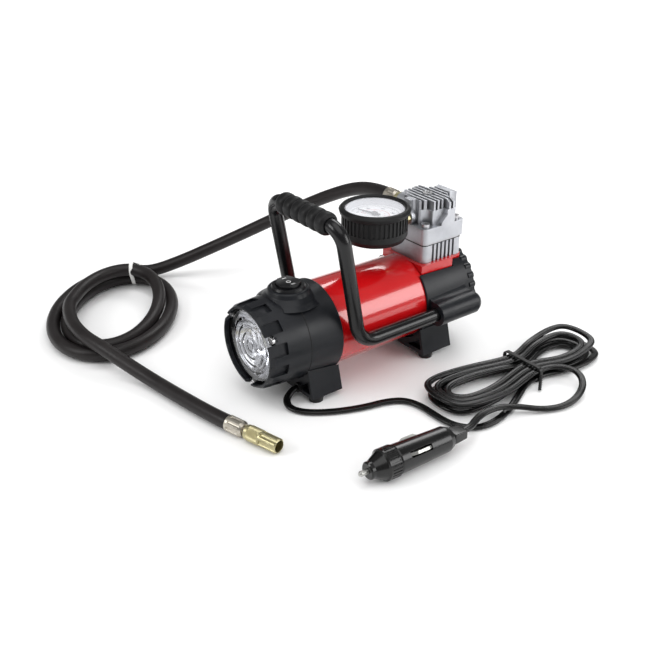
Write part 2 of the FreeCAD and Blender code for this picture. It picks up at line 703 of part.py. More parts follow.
def cylinder_block():
    z0 = AXIS_Z + DECK
    z1 = AXIS_Z + BLOCK_TOP
    block = rounded_box(BLOCK_HALF_X, BLOCK_HALF_Y, z0, z1, CORNER_R, y=HEAD_Y)
    block = block.cut(rod_z(BORE_R + LINER_WALL + SEAT, 0, HEAD_Y, z0 - 1, z1 + 1))
    pitch = (2 * BLOCK_HALF_Y - 4 * CORNER_R + BLOCK_GROOVE_WIDTH) / BLOCK_GROOVES
    first = HEAD_Y - pitch * (BLOCK_GROOVES - 1) / 2
    grooves = []
    for n in range(BLOCK_GROOVES):
        y = first + n * pitch
        for side in (-1, 1):
            span = sorted((side * (BLOCK_HALF_X - BLOCK_GROOVE_DEPTH), side * (BLOCK_HALF_X + 1)))
            grooves.append(box(span[0], span[1], y - BLOCK_GROOVE_WIDTH / 2,
                               y + BLOCK_GROOVE_WIDTH / 2, z0 - 1, z1 + 1))
    return block.cut(grooves).cut(screw_holes(z0 - 1, z1 + 1))


def cylinder_liner():
    z0 = AXIS_Z + LINER_BOTTOM
    z1 = AXIS_Z + BLOCK_TOP
    return rod_z(BORE_R + LINER_WALL, 0, HEAD_Y, z0, z1).cut(rod_z(BORE_R, 0, HEAD_Y, z0 - 1, z1 + 1))


def head_gasket():
    z0 = AXIS_Z + BLOCK_TOP
    z1 = z0 + GASKET_THICK
    sheet = rounded_box(BLOCK_HALF_X - 0.4, BLOCK_HALF_Y - 0.4, z0, z1, CORNER_R, y=HEAD_Y)
    return sheet.cut([rod_z(BORE_R, 0, HEAD_Y, z0 - 1, z1 + 1)] + screw_holes(z0 - 1, z1 + 1))


def valve_plate():
    """The plate between cylinder and head, with an inlet and an outlet port."""
    z0 = AXIS_Z + BLOCK_TOP + GASKET_THICK
    z1 = z0 + PLATE_THICK
    plate = rounded_box(BLOCK_HALF_X - 0.4, BLOCK_HALF_Y - 0.4, z0, z1, CORNER_R, y=HEAD_Y)
    ports = [rod_z(1.6, x, HEAD_Y, z0 - 1, z1 + 1) for x in (-4.5, 4.5)]
    return plate.cut(ports + screw_holes(z0 - 1, z1 + 1))


def front_corner(z0, z1):
    """What is cut from the head's front right corner: a slanted flat with flutes, and a sloping side."""
    front = HEAD_Y - HEAD_HALF_Y
    start = V(CORNER_CUT_X, front, z0)
    end = V(HEAD_HALF_X, front + CORNER_CUT_BACK, z0)
    along = (end - start).normalize()
    corner = V(HEAD_HALF_X + 3, front - 3, z0)
    flat = Part.makePolygon([start - along * 3, end + along * 3, corner, start - along * 3])
    cuts = [Part.Face(flat).extrude(V(0, 0, z1 - z0))]
    screw = V(SCREW_X, HEAD_Y - SCREW_Y, z0)
    foot = start + along * (screw - start).dot(along)
    cuts.append(rod_z(SCREW_FLUTE_R, screw.x, screw.y, z0, z1))
    for reach in (-FLUTES_APART, FLUTES_APART):
        place = foot + along * reach
        cuts.append(rod_z(FLUTE_R, place.x, place.y, z0, z1))
    x = HEAD_HALF_X - 4.0
    slope = [V(x, end.y, z0), V(x, end.y + SIDE_SLOPE, z0 + SIDE_SLOPE), V(x, end.y + SIDE_SLOPE, z1),
             V(x, end.y - SIDE_SLOPE, z1), V(x, end.y - SIDE_SLOPE, z0)]
    cuts.append(Part.Face(Part.makePolygon(slope + slope[:1])).extrude(V(8, 0, 0)))
    return cuts


def cylinder_head():
    """The finned head: a square flange, a body scooped round its screws, and fins across it."""
    z0 = AXIS_Z + HEAD_BOTTOM
    z1 = AXIS_Z + FLANGE_TOP
    top = AXIS_Z + HEAD_TOP
    root = AXIS_Z + FIN_ROOT
    flange = rounded_box(HEAD_HALF_X, HEAD_HALF_Y, z0, z1, CORNER_R, y=HEAD_Y)
    upper = rounded_box(HEAD_HALF_X, HEAD_HALF_Y, z1, top, 1.2, y=HEAD_Y)
    scoops = front_corner(z1, top + 1)
    scoops += [mirrored(cut) for cut in scoops]
    for place in head_screw_places(z1):
        if place.y > HEAD_Y:
            scoops.append(rod_z(SCOOP_R, place.x * 1.06, place.y + 0.8, z1, top + 1))
    upper = upper.cut(scoops)
    front = HEAD_Y - HEAD_HALF_Y
    upper = upper.fuse(rod(STEM_HEX_R + 0.6, at_axis(0, front, STEM_Z), Y_AXIS, CORNER_CUT_BACK))
    first = HEAD_Y - FIN_PITCH * (FINS - 1) / 2
    gaps = []
    for n in range(FINS - 1):
        y = first + (n + 0.5) * FIN_PITCH
        gaps.append(box(-HEAD_HALF_X - 1, HEAD_HALF_X + 1, y - (FIN_PITCH - FIN_THICK) / 2,
                        y + (FIN_PITCH - FIN_THICK) / 2, root, top + 1))
    boss = rod_z(4.6, 0, HEAD_Y, root, top - 1.0)
    upper = upper.cut(gaps).fuse(boss)
    for side in (-1, 1):
        shoulder = Part.makeBox(8, 2 * HEAD_HALF_Y + 4, 6, V(0, -HEAD_HALF_Y - 2, 0))
        shoulder.rotate(ORIGIN, Y_AXIS, 32.0)
        shoulder.translate(V(HEAD_HALF_X - 3.4, HEAD_Y, top))
        if side < 0:
            shoulder = mirrored(shoulder)
        upper = upper.cut(shoulder)
    outlet_y = HEAD_Y - OUTLET_FORWARD
    outlet = rod(OUTLET_BOSS_R, at_axis(-HEAD_HALF_X - 0.4, outlet_y, OUTLET_Z), X_AXIS, 14)
    head = joined([flange, upper, outlet])
    drills = screw_holes(z0 - 1, z1 + 1)
    drills.append(rod_z(8.0, 0, HEAD_Y, z0 - 1, z0 + 6))
    drills.append(rod(2.0, at_axis(-HEAD_HALF_X - 2, outlet_y, OUTLET_Z), X_AXIS, 18))
    drills.append(rod_z(2.0, -4.5, outlet_y + 1.5, z0, AXIS_Z + OUTLET_Z))
    drills.append(rod(STEM_R - 0.8, at_axis(0, HEAD_Y - HEAD_HALF_Y - 1, STEM_Z), Y_AXIS, 12))
    drills.append(rod_z(2.4, 0, HEAD_Y, top - 4.0, top + 1))
    drills.append(rod_z(4.0, 0, HEAD_Y, top - 1.0, top + 1))
    for place in head_screw_places(z1):
        drills.append(rod_z(HEAD_SCREW_CAP_R + SEAT, place.x, place.y, z1, z1 + HEAD_SCREW_CAP + SEAT))
    return head.cut(drills)


def head_screws():
    """Four long screws through the head, and the short plug screw between the fins."""
    seat = AXIS_Z + FLANGE_TOP
    screws = []
    for place in head_screw_places(seat):
        cap = rod_z(HEAD_SCREW_CAP_R, place.x, place.y, seat, seat + HEAD_SCREW_CAP)
        shank = rod_z(HEAD_SCREW_R, place.x, place.y, AXIS_Z + DECK - 8.0, seat)
        slot = rod_z(1.5, place.x, place.y, seat + 1.2, seat + 5)
        screws.append(cap.fuse(shank).cut(slot).removeSplitter())
    top = AXIS_Z + HEAD_TOP - 1.0
    plug = rod_z(3.6, 0, HEAD_Y, top, top + 1.8).fuse(rod_z(2.2, 0, HEAD_Y, top - 2.6, top))
    cross = [box(-2.4, 2.4, HEAD_Y - 0.5, HEAD_Y + 0.5, top + 0.9, top + 3),
             box(-0.5, 0.5, HEAD_Y - 2.4, HEAD_Y + 2.4, top + 0.9, top + 3)]
    screws.append(plug.cut(cross).removeSplitter())
    return group(screws)


def piston():
    z1 = AXIS_Z + PISTON_TOP
    z0 = z1 - PISTON_LENGTH
    body = rod_z(BORE_R - RUN, 0, HEAD_Y, z0, z1)
    body = body.cut(box(-7.0, 7.0, HEAD_Y - ROD_THICK / 2 - AIR, HEAD_Y + ROD_THICK / 2 + AIR,
                        z0 - 1, z1 - PISTON_CROWN))
    return body.cut(rod_y(GUDGEON_R, HEAD_Y - BORE_R, HEAD_Y + BORE_R, z=AXIS_Z + GUDGEON_Z))


def gudgeon_pin():
    half = BORE_R - 1.5
    return rod_y(GUDGEON_R, HEAD_Y - half, HEAD_Y + half, z=AXIS_Z + GUDGEON_Z)


def connecting_rod():
    y0 = ROD_FRONT
    y1 = ROD_FRONT + ROD_THICK
    low = AXIS_Z + GEAR_Z + CRANK_R
    high = AXIS_Z + GUDGEON_Z
    shank = box(-ROD_SHANK / 2, ROD_SHANK / 2, y0, y1, low, high)
    for side in (-1, 1):
        span = sorted((side * (ROD_SHANK / 2 - 1.4), side * (ROD_SHANK / 2 + 1)))
        shank = shank.cut(box(span[0] if side > 0 else span[0], span[1], y0 - 1, y0 + 1.2, low + 8, high - 6))
    beam = joined([shank, rod_y(ROD_BIG_R, y0, y1, z=low), rod_y(ROD_SMALL_R, y0, y1, z=high)])
    beam = beam.cut(rod_y(CRANK_PIN_R + RUN, y0 - 1, y1 + 1, z=low))
    return beam.cut(rod_y(GUDGEON_R + RUN, y0 - 1, y1 + 1, z=high))


# Rear cover and handle
def cover_screw_places(y):
    return [polar(COVER_SCREW_AT_R, 90.0 + 360.0 * n / COVER_SCREWS, y) for n in range(COVER_SCREWS)]


SIDE_Z = AXIS_Z - HANDLE_DROP
SOCKET_Y = COVER_START + SOCKET_SETBACK


def socket_web():
    """The right socket's neck, hollowed above and below where it runs into the cover."""
    r = COVER_REAR_R - 0.3
    middle = V(HANDLE_X, SOCKET_Y, SIDE_Z)
    above = polar(r, 23.0, SOCKET_Y)
    below = polar(r, -38.0, SOCKET_Y)
    top = middle + V(-1.6, 0, math.sqrt(SOCKET_R ** 2 - 1.6 ** 2))
    bottom = middle + V(-1.6, 0, -math.sqrt(SOCKET_R ** 2 - 1.6 ** 2))
    over = (above + top) * 0.5 + V(-0.9, 0, -1.5)
    under = (below + bottom) * 0.5 + V(-1.4, 0, 1.8)
    inside = at_axis(r - 9, SOCKET_Y, 0)
    edges = [Part.Arc(above, over, top).toShape(), Part.makeLine(top, middle), Part.makeLine(middle, bottom),
             Part.Arc(bottom, under, below).toShape(), Part.makeLine(below, inside),
             Part.makeLine(inside, above)]
    return Part.Face(Part.Wire(edges)).extrude(V(0, SOCKET_LENGTH, 0))


def rear_cover():
    """The cup over the crankcase, open round the cylinder, with a socket for the handle each side."""
    fit = TUBE_R + SEAT
    thin = CASE_R + SEAT
    end_in = COVER_END - COVER_END_THICK
    shell = turned_y([
        (COVER_R - 0.5, COVER_START), (COVER_R, COVER_START + 0.5), (COVER_REAR_R, COVER_END - 1.5),
        (COVER_REAR_R - 2.0, COVER_END), (0, COVER_END), (0, end_in), (thin, end_in),
        (thin, TUBE_END + 1), (fit, TUBE_END + 1), (fit, COVER_START)])
    lobe = rod_y(SCALLOP_R, COVER_END - 2 - SCALLOP_WIDTH, COVER_END - 1.2,
                 x=COVER_REAR_R + SCALLOP_PROUD - SCALLOP_R)
    outside = rod_y(thin + 0.5, COVER_START, COVER_END)
    lobes = [one.cut(outside) for one in around_y(lobe, SCALLOPS)]
    sockets = []
    for side in (-1, 1):
        x = side * HANDLE_X
        barrel = rod_y(SOCKET_R, SOCKET_Y, SOCKET_Y + SOCKET_LENGTH, x=x, z=SIDE_Z)
        dome = Part.makeSphere(SOCKET_R, V(x, SOCKET_Y + SOCKET_LENGTH - 2, SIDE_Z))
        web = socket_web() if side > 0 else mirrored(socket_web())
        sockets.append(joined([barrel, dome, web]).cut(outside))
    cover = joined([shell] + lobes + sockets)
    for side in (-1, 1):
        bore = rod_y(HANDLE_R + SEAT, SOCKET_Y - 1, SOCKET_Y + SOCKET_DEPTH, x=side * HANDLE_X, z=SIDE_Z)
        cover = cover.cut(bore)
    pad_end = COVER_START + PAD_SETBACK + PAD_LENGTH
    wide = box(-PAD_HALF_X - WINDOW_GAP, PAD_HALF_X + WINDOW_GAP, COVER_START - 1,
               pad_end + WINDOW_GAP, AXIS_Z + 6, 4 * AXIS_Z)
    narrow = box(-LUG_HALF_X - WINDOW_GAP, LUG_HALF_X + WINDOW_GAP, COVER_START - 1,
                 pad_end + LUG_LENGTH + WINDOW_GAP, AXIS_Z + 6, 4 * AXIS_Z)
    vent = box(COVER_SCREW_AT_R - 13, COVER_SCREW_AT_R - 13 + VENT_LENGTH, end_in - 1, COVER_END + 1,
               AXIS_Z - VENT_WIDTH / 2, AXIS_Z + VENT_WIDTH / 2)
    cover = cover.cut([wide, narrow] + around_y(vent, VENTS))
    for place in cover_screw_places(end_in):
        cover = cover.cut(rod(HEAD_SCREW_R, place - Y_AXIS, Y_AXIS, COVER_END_THICK + 2))
        cover = cover.cut(rod(HEAD_SCREW_CAP_R + SEAT, place + Y_AXIS * 1.4, Y_AXIS, COVER_END_THICK))
    return cover


def rear_cover_screws():
    seat = COVER_END - COVER_END_THICK + 1.4
    screws = []
    for place in cover_screw_places(seat):
        cap = rod(HEAD_SCREW_CAP_R, place, Y_AXIS, 1.4)
        shank = rod(HEAD_SCREW_R - SEAT, place - Y_AXIS * 1.35, Y_AXIS, 1.4)
        cross = [Part.makeBox(4, 1, 0.9, place + V(-2, 0.8, -0.45)),
                 Part.makeBox(0.9, 1, 4, place + V(-0.45, 0.8, -2))]
        screws.append(cap.fuse(shank).cut(cross).removeSplitter())
    return group(screws)


def handle_corner_y():
    return HOUSING_END + HANDLE_CORNER


def handle_points():
    """The handle's axis on the right side: socket, lower corner, top corner, and the middle of the grip."""
    rise = GRIP_Z - SIDE_Z
    grip_y = handle_corner_y() - rise * math.tan(math.radians(HANDLE_LEAN))
    return [V(HANDLE_X, SOCKET_Y + SOCKET_DEPTH - 1, SIDE_Z), V(HANDLE_X, handle_corner_y(), SIDE_Z),
            V(HANDLE_X, grip_y, GRIP_Z), V(0, grip_y, GRIP_Z)]


def bend(before, corner, after, radius):
    """The arc that rounds a corner, as three points."""
    back = (before - corner).normalize()
    on = (after - corner).normalize()
    half = back.getAngle(on) / 2
    reach = radius / math.tan(half)
    centre = corner + (back + on).normalize() * (radius / math.sin(half))
    middle = centre + (corner - centre).normalize() * radius
    return corner + back * reach, middle, corner + on * reach


def handle_path():
    end, low, high, middle = handle_points()
    low_arc = bend(end, low, high, HANDLE_LOW_R)
    high_arc = bend(low, high, middle, HANDLE_TOP_R)
    right = [Part.makeLine(end, low_arc[0]), Part.Arc(*low_arc).toShape(),
             Part.makeLine(low_arc[2], high_arc[0]), Part.Arc(*high_arc).toShape()]
    left = [mirrored(edge) for edge in right]
    across = Part.makeLine(high_arc[2], V(-high_arc[2].x, high_arc[2].y, high_arc[2].z))
    return Part.Wire(Part.__sortEdges__(right + [across] + left))


def swept(path, radius):
    """A round bar along a path of tangent lines and arcs."""
    first = path.OrderedEdges[0]
    start = first.valueAt(first.FirstParameter)
    heading = first.tangentAt(first.FirstParameter)
    if (path.OrderedVertexes[0].Point - start).Length > 0.001:
        start = first.valueAt(first.LastParameter)
        heading = first.tangentAt(first.LastParameter)
    section = Part.Wire(Part.makeCircle(radius, start, heading))
    return path.makePipeShell([section], True, False)


def handle_tube():
    path = handle_path()
    return swept(path, HANDLE_R).cut(swept(path, HANDLE_R - HANDLE_WALL))


def handle_grip():
    """A rubber sleeve with broad ribs between narrow grooves."""
    middle = handle_points()[3]
    half = HANDLE_X - HANDLE_TOP_R
    pitch = (2 * half - GRIP_GROOVE) / GRIP_RIBS
    points = [(HANDLE_R + RUN, -half), (GRIP_GROOVE_R, -half)]
    for n in range(GRIP_RIBS):
        x = -half + GRIP_GROOVE + n * pitch
        width = pitch - GRIP_GROOVE
        points += [(GRIP_GROOVE_R, x), (GRIP_R - 0.35, x + 0.5), (GRIP_R, x + width * 0.5),
                   (GRIP_R - 0.35, x + width - 0.5), (GRIP_GROOVE_R, x + width)]
    points += [(GRIP_GROOVE_R, half), (HANDLE_R + RUN, half)]
    return turned(points, middle, X_AXIS, Z_AXIS)


# Feet
def foot_saddle(y0, y1, body):
    """A block that cradles the body and flares towards the floor."""
    top = AXIS_Z - 12.0
    slope = (FOOT_HALF_BOTTOM - FOOT_HALF_TOP) / 17.6
    top_half = FOOT_HALF_BOTTOM - slope * (top - FOOT_Z)
    outline = [V(-FOOT_HALF_BOTTOM, y0, FOOT_Z), V(FOOT_HALF_BOTTOM, y0, FOOT_Z),
               V(top_half, y0, top), V(-top_half, y0, top)]
    block = Part.Face(Part.makePolygon(outline + outline[:1])).extrude(V(0, y1 - y0, 0))
    block = block.cut(body)
    inner = [V(-FOOT_HALF_BOTTOM + FOOT_BORDER, 0, FOOT_Z + FOOT_BORDER),
             V(FOOT_HALF_BOTTOM - FOOT_BORDER, 0, FOOT_Z + FOOT_BORDER),
             V(top_half - FOOT_BORDER, 0, top), V(-top_half + FOOT_BORDER, 0, top)]
    window = Part.Face(Part.makePolygon(inner + inner[:1])).extrude(V(0, FOOT_RECESS, 0))
    window = window.cut(rod_y(HOUSING_R + FOOT_BORDER, -1, FOOT_RECESS + 1))
    for y in (y0 - 0.01, y1 - FOOT_RECESS + 0.01):
        recess = window.copy()
        recess.translate(V(0, y, 0))
        block = block.cut(recess)
    for side in (-1, 1):
        block = block.cut(rod_z(PAD_STEM_R + SEAT, side * PAD_X, y0 + PAD_BACK, FOOT_Z - 1,
                                FOOT_Z + PAD_STEM + SEAT))
    return block.removeSplitter()


def foot_places():
    rear = COVER_START + REAR_FOOT_BACK
    return ((HOUSING_END - FOOT_LENGTH + 0.2, HOUSING_END), (rear, rear + FOOT_LENGTH + 1.4))


def foot_saddles():
    front, rear = foot_places()
    housing = turned_y([(0, FRONT), (SEAM_R + SEAT, FRONT), (SEAM_R + SEAT, SEAM),
                        (HOUSING_R + SEAT, HOUSING_END + 1), (0, HOUSING_END + 1)])
    cover = rod_y(COVER_R + SEAT, FRONT, COVER_END + 5)
    gland_hole = rod_y(GLAND_STEM_R + SEAT, front[0] - 1, front[0] + FOOT_RECESS + 6, x=CORD_X, z=CORD_UP)
    first = foot_saddle(front[0], front[1], housing).cut(gland_hole)
    return group([first, foot_saddle(rear[0], rear[1], cover)])


def cord_gland():
    """The rubber bush through which the power cord leaves the front foot."""
    face = foot_places()[0][0]
    flange = rod_y(GLAND_R, face - GLAND_OUT, face, x=CORD_X, z=CORD_UP)
    stem = rod_y(GLAND_STEM_R, face - 0.5, face + FOOT_RECESS + 5, x=CORD_X, z=CORD_UP)
    way = rod_y(CORD_D / 2 + SEAT, face - GLAND_OUT - 1, face + 1, x=CORD_X, z=CORD_UP)
    return flange.fuse(stem).cut(way).removeSplitter()


def foot_pads():
    pads = []
    for y0, y1 in foot_places():
        for side in (-1, 1):
            x = side * PAD_X
            y = y0 + PAD_BACK
            pad = Part.makeCone(PAD_R - 0.6, PAD_R, FOOT_Z, V(x, y, 0), Z_AXIS)
            pads.append(pad.fuse(rod_z(PAD_STEM_R, x, y, FOOT_Z - 0.5, FOOT_Z + PAD_STEM)).removeSplitter())
    return group(pads)


# Gauge
GAUGE_BOTTOM = GAUGE_TOP - GAUGE_HEIGHT


def gauge_turned(points):
    return turned(points, V(0, GAUGE_Y, 0), Z_AXIS, X_AXIS)


def stem_tunnel(radius):
    return rod(radius, at_axis(0, GAUGE_Y + GLASS_R - 9, STEM_Z), Y_AXIS, 30)


def gauge_boot():
    """The rubber cup round the gauge, with a rolled rim and a band of upright ribs."""
    rim_low = GAUGE_TOP - BOOT_RIM
    cup = gauge_turned([
        (GLASS_R, GAUGE_TOP - 1.2), (GLASS_R + 1.2, GAUGE_TOP), (BOOT_RIM_R - 1.5, GAUGE_TOP - 0.5),
        (BOOT_RIM_R, GAUGE_TOP - 2.2), (BOOT_RIM_R - 0.6, rim_low + 0.8), (BOOT_R, rim_low),
        (BOOT_R, GAUGE_BOTTOM + 4.0), (BOOT_R - 1.8, GAUGE_BOTTOM + 0.6), (BOOT_R - 3.0, GAUGE_BOTTOM),
        (0, GAUGE_BOTTOM), (0, GAUGE_BOTTOM + BOOT_WALL), (BOOT_R - BOOT_WALL, GAUGE_BOTTOM + BOOT_WALL),
        (BOOT_R - BOOT_WALL, GAUGE_TOP - 2.4), (GLASS_R, GAUGE_TOP - 2.4)])
    groove = box(BOOT_R - BOOT_RIB_DEPTH, BOOT_R + 1, GAUGE_Y - 0.95, GAUGE_Y + 0.95,
                 rim_low - BOOT_RIB_HEIGHT, rim_low)
    cup = cup.cut(around_z(groove, BOOT_RIBS, 0, GAUGE_Y))
    return cup.cut(stem_tunnel(STEM_R + SEAT))


def gauge_case():
    r = BOOT_R - BOOT_WALL - SEAT
    top = GAUGE_TOP - 2.4 - SEAT
    low = GAUGE_BOTTOM + BOOT_WALL + SEAT
    cup = gauge_turned([(0, low), (r, low), (r, top), (r - CASE_WALL_THICK, top),
                        (r - CASE_WALL_THICK, low + CASE_WALL_THICK), (0, low + CASE_WALL_THICK)])
    block = box(-4, 4, GAUGE_Y - 3, GAUGE_Y + r - 0.5, AXIS_Z + STEM_Z - 3.5, AXIS_Z + STEM_Z + 3.5)
    post = rod_z(2.5, 0, GAUGE_Y, AXIS_Z + STEM_Z, GAUGE_TOP - DIAL_DROP - DIAL_THICK - SEAT)
    case = joined([cup, block, post])
    case = case.cut(stem_tunnel(STEM_R + SEAT))
    return case.cut(rod_z(NEEDLE_SPINDLE_R + RUN, 0, GAUGE_Y, GAUGE_TOP - DIAL_DROP - NEEDLE_SPINDLE, GAUGE_TOP))


def gauge_dial():
    r = BOOT_R - BOOT_WALL - CASE_WALL_THICK - SEAT * 2
    z1 = GAUGE_TOP - DIAL_DROP
    return rod_z(r, 0, GAUGE_Y, z1 - DIAL_THICK, z1).cut(rod_z(NEEDLE_SPINDLE_R + RUN, 0, GAUGE_Y, z1 - 3, z1 + 1))


def gauge_needle():
    z = GAUGE_TOP - DIAL_DROP + AIR
    hub = rod_z(2.2, 0, GAUGE_Y, z, z + 1.6)
    spindle = rod_z(NEEDLE_SPINDLE_R, 0, GAUGE_Y, GAUGE_TOP - DIAL_DROP - NEEDLE_SPINDLE + AIR, z + 0.5)
    outline = [V(-NEEDLE_TAIL, -1.3, z + 0.4), V(NEEDLE_LENGTH, -0.25, z + 0.4),
               V(NEEDLE_LENGTH, 0.25, z + 0.4), V(-NEEDLE_TAIL, 1.3, z + 0.4)]
    blade = Part.Face(Part.makePolygon(outline + outline[:1])).extrude(V(0, 0, 0.6))
    blade.rotate(ORIGIN, Z_AXIS, NEEDLE_AT)
    blade.translate(V(0, GAUGE_Y, 0))
    return joined([hub, spindle, blade])


def gauge_glass():
    r = BOOT_R - BOOT_WALL - CASE_WALL_THICK - SEAT * 2
    z1 = GAUGE_TOP - 2.4 - SEAT
    return gauge_turned([(0, z1 - GLASS_THICK), (r, z1 - GLASS_THICK), (r, z1),
                         (GLASS_R - SEAT, z1), (GLASS_R - SEAT - 1, z1 + 0.9), (0, z1 + 1.2)])


def gauge_stem():
    """The brass connector between the head's front and the gauge."""
    y0 = GAUGE_Y + GLASS_R - 8
    y1 = HEAD_Y - HEAD_HALF_Y
    stem = rod(STEM_R, at_axis(0, y0, STEM_Z), Y_AXIS, y1 - y0)
    thread = rod(STEM_R - 0.8 - SEAT, at_axis(0, y1 - 1, STEM_Z), Y_AXIS, 9)
    nut_y = GAUGE_Y + BOOT_R + AIR
    corners = [at_axis(STEM_HEX_R * math.cos(math.radians(60 * n)), nut_y,
                       STEM_Z + STEM_HEX_R * math.sin(math.radians(60 * n))) for n in range(6)]
    nut = Part.Face(Part.makePolygon(corners + corners[:1])).extrude(V(0, y1 - SEAT - nut_y, 0))
    return joined([stem, thread, nut])


# Hose fittings
OUTLET_Y = HEAD_Y - OUTLET_FORWARD
OUTLET_X = -HEAD_HALF_X - 0.4
FERRULE_X = OUTLET_X - COLLAR_LENGTH
HOSE_START = at_axis(FERRULE_X - HEAD_FERRULE_LENGTH, OUTLET_Y, OUTLET_Z)


def hose_fitting():
    """A brass collar screwed into the head."""
    start = at_axis(OUTLET_X, OUTLET_Y, OUTLET_Z)
    collar = rod(COLLAR_R, start, -X_AXIS, COLLAR_LENGTH * 0.45)
    neck = rod(COLLAR_R - 1.2, start - X_AXIS * COLLAR_LENGTH * 0.45, -X_AXIS, COLLAR_LENGTH * 0.55)
    thread = rod(2.0 - RUN, start, X_AXIS, 8)
    return joined([collar, neck, thread])


def ferrule(start, heading, length):
    """A crimped sleeve with lengthwise flutes and a rounded nose, from the hose's end onwards."""
    across = V(0, 0, 1)
    sleeve = turned([(0, 0), (FERRULE_R - 0.3, 0), (FERRULE_R, 0.5), (FERRULE_R, length - 2.0),
                     (FERRULE_R - 1.6, length), (0, length)], start, heading, across)
    for n in range(FERRULE_FLUTES):
        flute = rod(1.6, start + across * (FERRULE_R + 1.0) + heading * 2.5, heading, length)
        flute.rotate(start, heading, 360.0 * n / FERRULE_FLUTES)
        sleeve = sleeve.cut(flute)
    return sleeve


def hose_ferrule():
    return ferrule(HOSE_START, X_AXIS, HEAD_FERRULE_LENGTH)


def free_heading():
    a = math.radians(CHUCK_HEADING)
    return V(math.cos(a), math.sin(a), 0)


def chuck_ferrule():
    heading = free_heading()
    sleeve = ferrule(HOSE_ROUTE_TAIL[-1], heading, FERRULE_LENGTH)
    stem = rod(CHUCK_NECK_R - 0.6, HOSE_ROUTE_TAIL[-1] + heading * (FERRULE_LENGTH - 1), heading,
               CHUCK_NECK + 7.0)
    return joined([sleeve, stem])


def tire_chuck():
    """The brass screw chuck, which spins on its stem. Six flutes give the fingers a hold."""
    heading = free_heading()
    start = HOSE_ROUTE_TAIL[-1] + heading * (FERRULE_LENGTH + CHUCK_NECK)
    across = V(0, 0, 1)
    body = turned([(0, 0), (CHUCK_R - 0.8, 0), (CHUCK_R, 0.8), (CHUCK_R, CHUCK_LENGTH - 0.8),
                   (CHUCK_R - 0.8, CHUCK_LENGTH), (0, CHUCK_LENGTH)], start, heading, across)
    half = CHUCK_LENGTH * 0.5
    for n in range(6):
        flute = Part.makeCylinder(1.9, CHUCK_LENGTH - half + 1, start + across * (CHUCK_R + 0.9) + heading * half, heading)
        flute.rotate(start, heading, 60.0 * n + 30)
        body = body.cut(flute)
    body = body.cut(rod(CHUCK_NECK_R - 0.6 + RUN, start - heading, heading, 7.5))
    return body.cut(rod(CHUCK_BORE_R, start + heading * (CHUCK_LENGTH - CHUCK_BORE), heading, CHUCK_BORE + 1))


# Free stretches of hose and cord
def rounded_path(points):
    """Straight runs joined by tangent arcs, each as large as its two runs allow."""
    edges = []
    radii = []
    last = points[0]
    for before, corner, after in zip(points, points[1:], points[2:]):
        shorter = min((before - corner).Length, (after - corner).Length)
        turn = math.pi - (before - corner).getAngle(after - corner)
        radius = 0.45 * shorter / math.tan(turn / 2)
        start, middle, end = bend(before, corner, after, radius)
        edges.append(Part.makeLine(last, start))
        edges.append(Part.Arc(start, middle, end).toShape())
        radii.append(radius)
        last = end
    edges.append(Part.makeLine(last, points[-1]))
    return Part.Wire(edges), radii


def free_tube(name, points, diameter):
    path, radii = rounded_path(points)
    tube = swept(path, diameter / 2)
    expected = math.pi * diameter ** 2 / 4 * path.Length
    print(f"{name}: {path.Length:.0f} mm long, least radius {min(radii):.1f} mm,",
          f"volume {tube.Volume / expected:.4f} of its section times its length,",
          "radii " + " ".join(f"{r:.0f}" for r in radii))
    return tube


def biarc(start, start_heading, end, end_heading):
    """Two arcs that join two points with the given headings."""
    chord = end - start
    both = start_heading + end_heading
    spread = 2 * (1 - start_heading.dot(end_heading))
    along = chord.dot(both)
    if spread < 1e-9:
        reach = chord.dot(chord) / (4 * chord.dot(start_heading))
    else:
        reach = (-along + math.sqrt(along ** 2 + spread * chord.dot(chord))) / spread
    joint = (start + start_heading * reach + end - end_heading * reach) * 0.5
    return [tangent_arc(start, start_heading, joint), tangent_arc(end, end_heading * -1, joint, True)]


def tangent_arc(start, heading, end, backwards=False):
    """The arc from start, along heading, to end. Nearly straight ones become lines."""
    chord = end - start
    angle = heading.getAngle(chord)
    ends = (end, start) if backwards else (start, end)
    if angle < 1e-4:
        return Part.makeLine(*ends)
    across = (heading * chord.dot(heading) - chord).normalize()
    normal = (across - heading * across.dot(heading)).normalize()
    radius = chord.Length / (2 * math.sin(angle))
    centre = start - normal * radius
    middle = centre + ((start + end) * 0.5 - centre).normalize() * radius
    return Part.Arc(ends[0], middle, ends[1]).toShape()


def wound_tube(name, places, diameter):
    """One unbroken tube through places along a winding, with its least gap to itself printed."""
    edges = []
    for (p0, h0), (p1, h1) in zip(places, places[1:]):
        edges += biarc(p0, h0, p1, h1)
    path = Part.Wire(edges)
    tube = swept(path, diameter / 2)
    points = [tuple(p) for p in path.discretize(Distance=diameter / 4)]
    skip = 13
    gap = min(math.dist(one, other) for n, one in enumerate(points)
              for other in points[n + skip:]) - diameter
    least = min(e.Curve.Radius for e in edges if hasattr(e.Curve, "Radius"))
    print(f"{name}: {path.Length:.0f} mm long, least radius {least:.1f} mm, least gap to itself {gap:.2f} mm,",
          f"volume {tube.Volume / (math.pi * diameter ** 2 / 4 * path.Length):.4f}")
    return tube


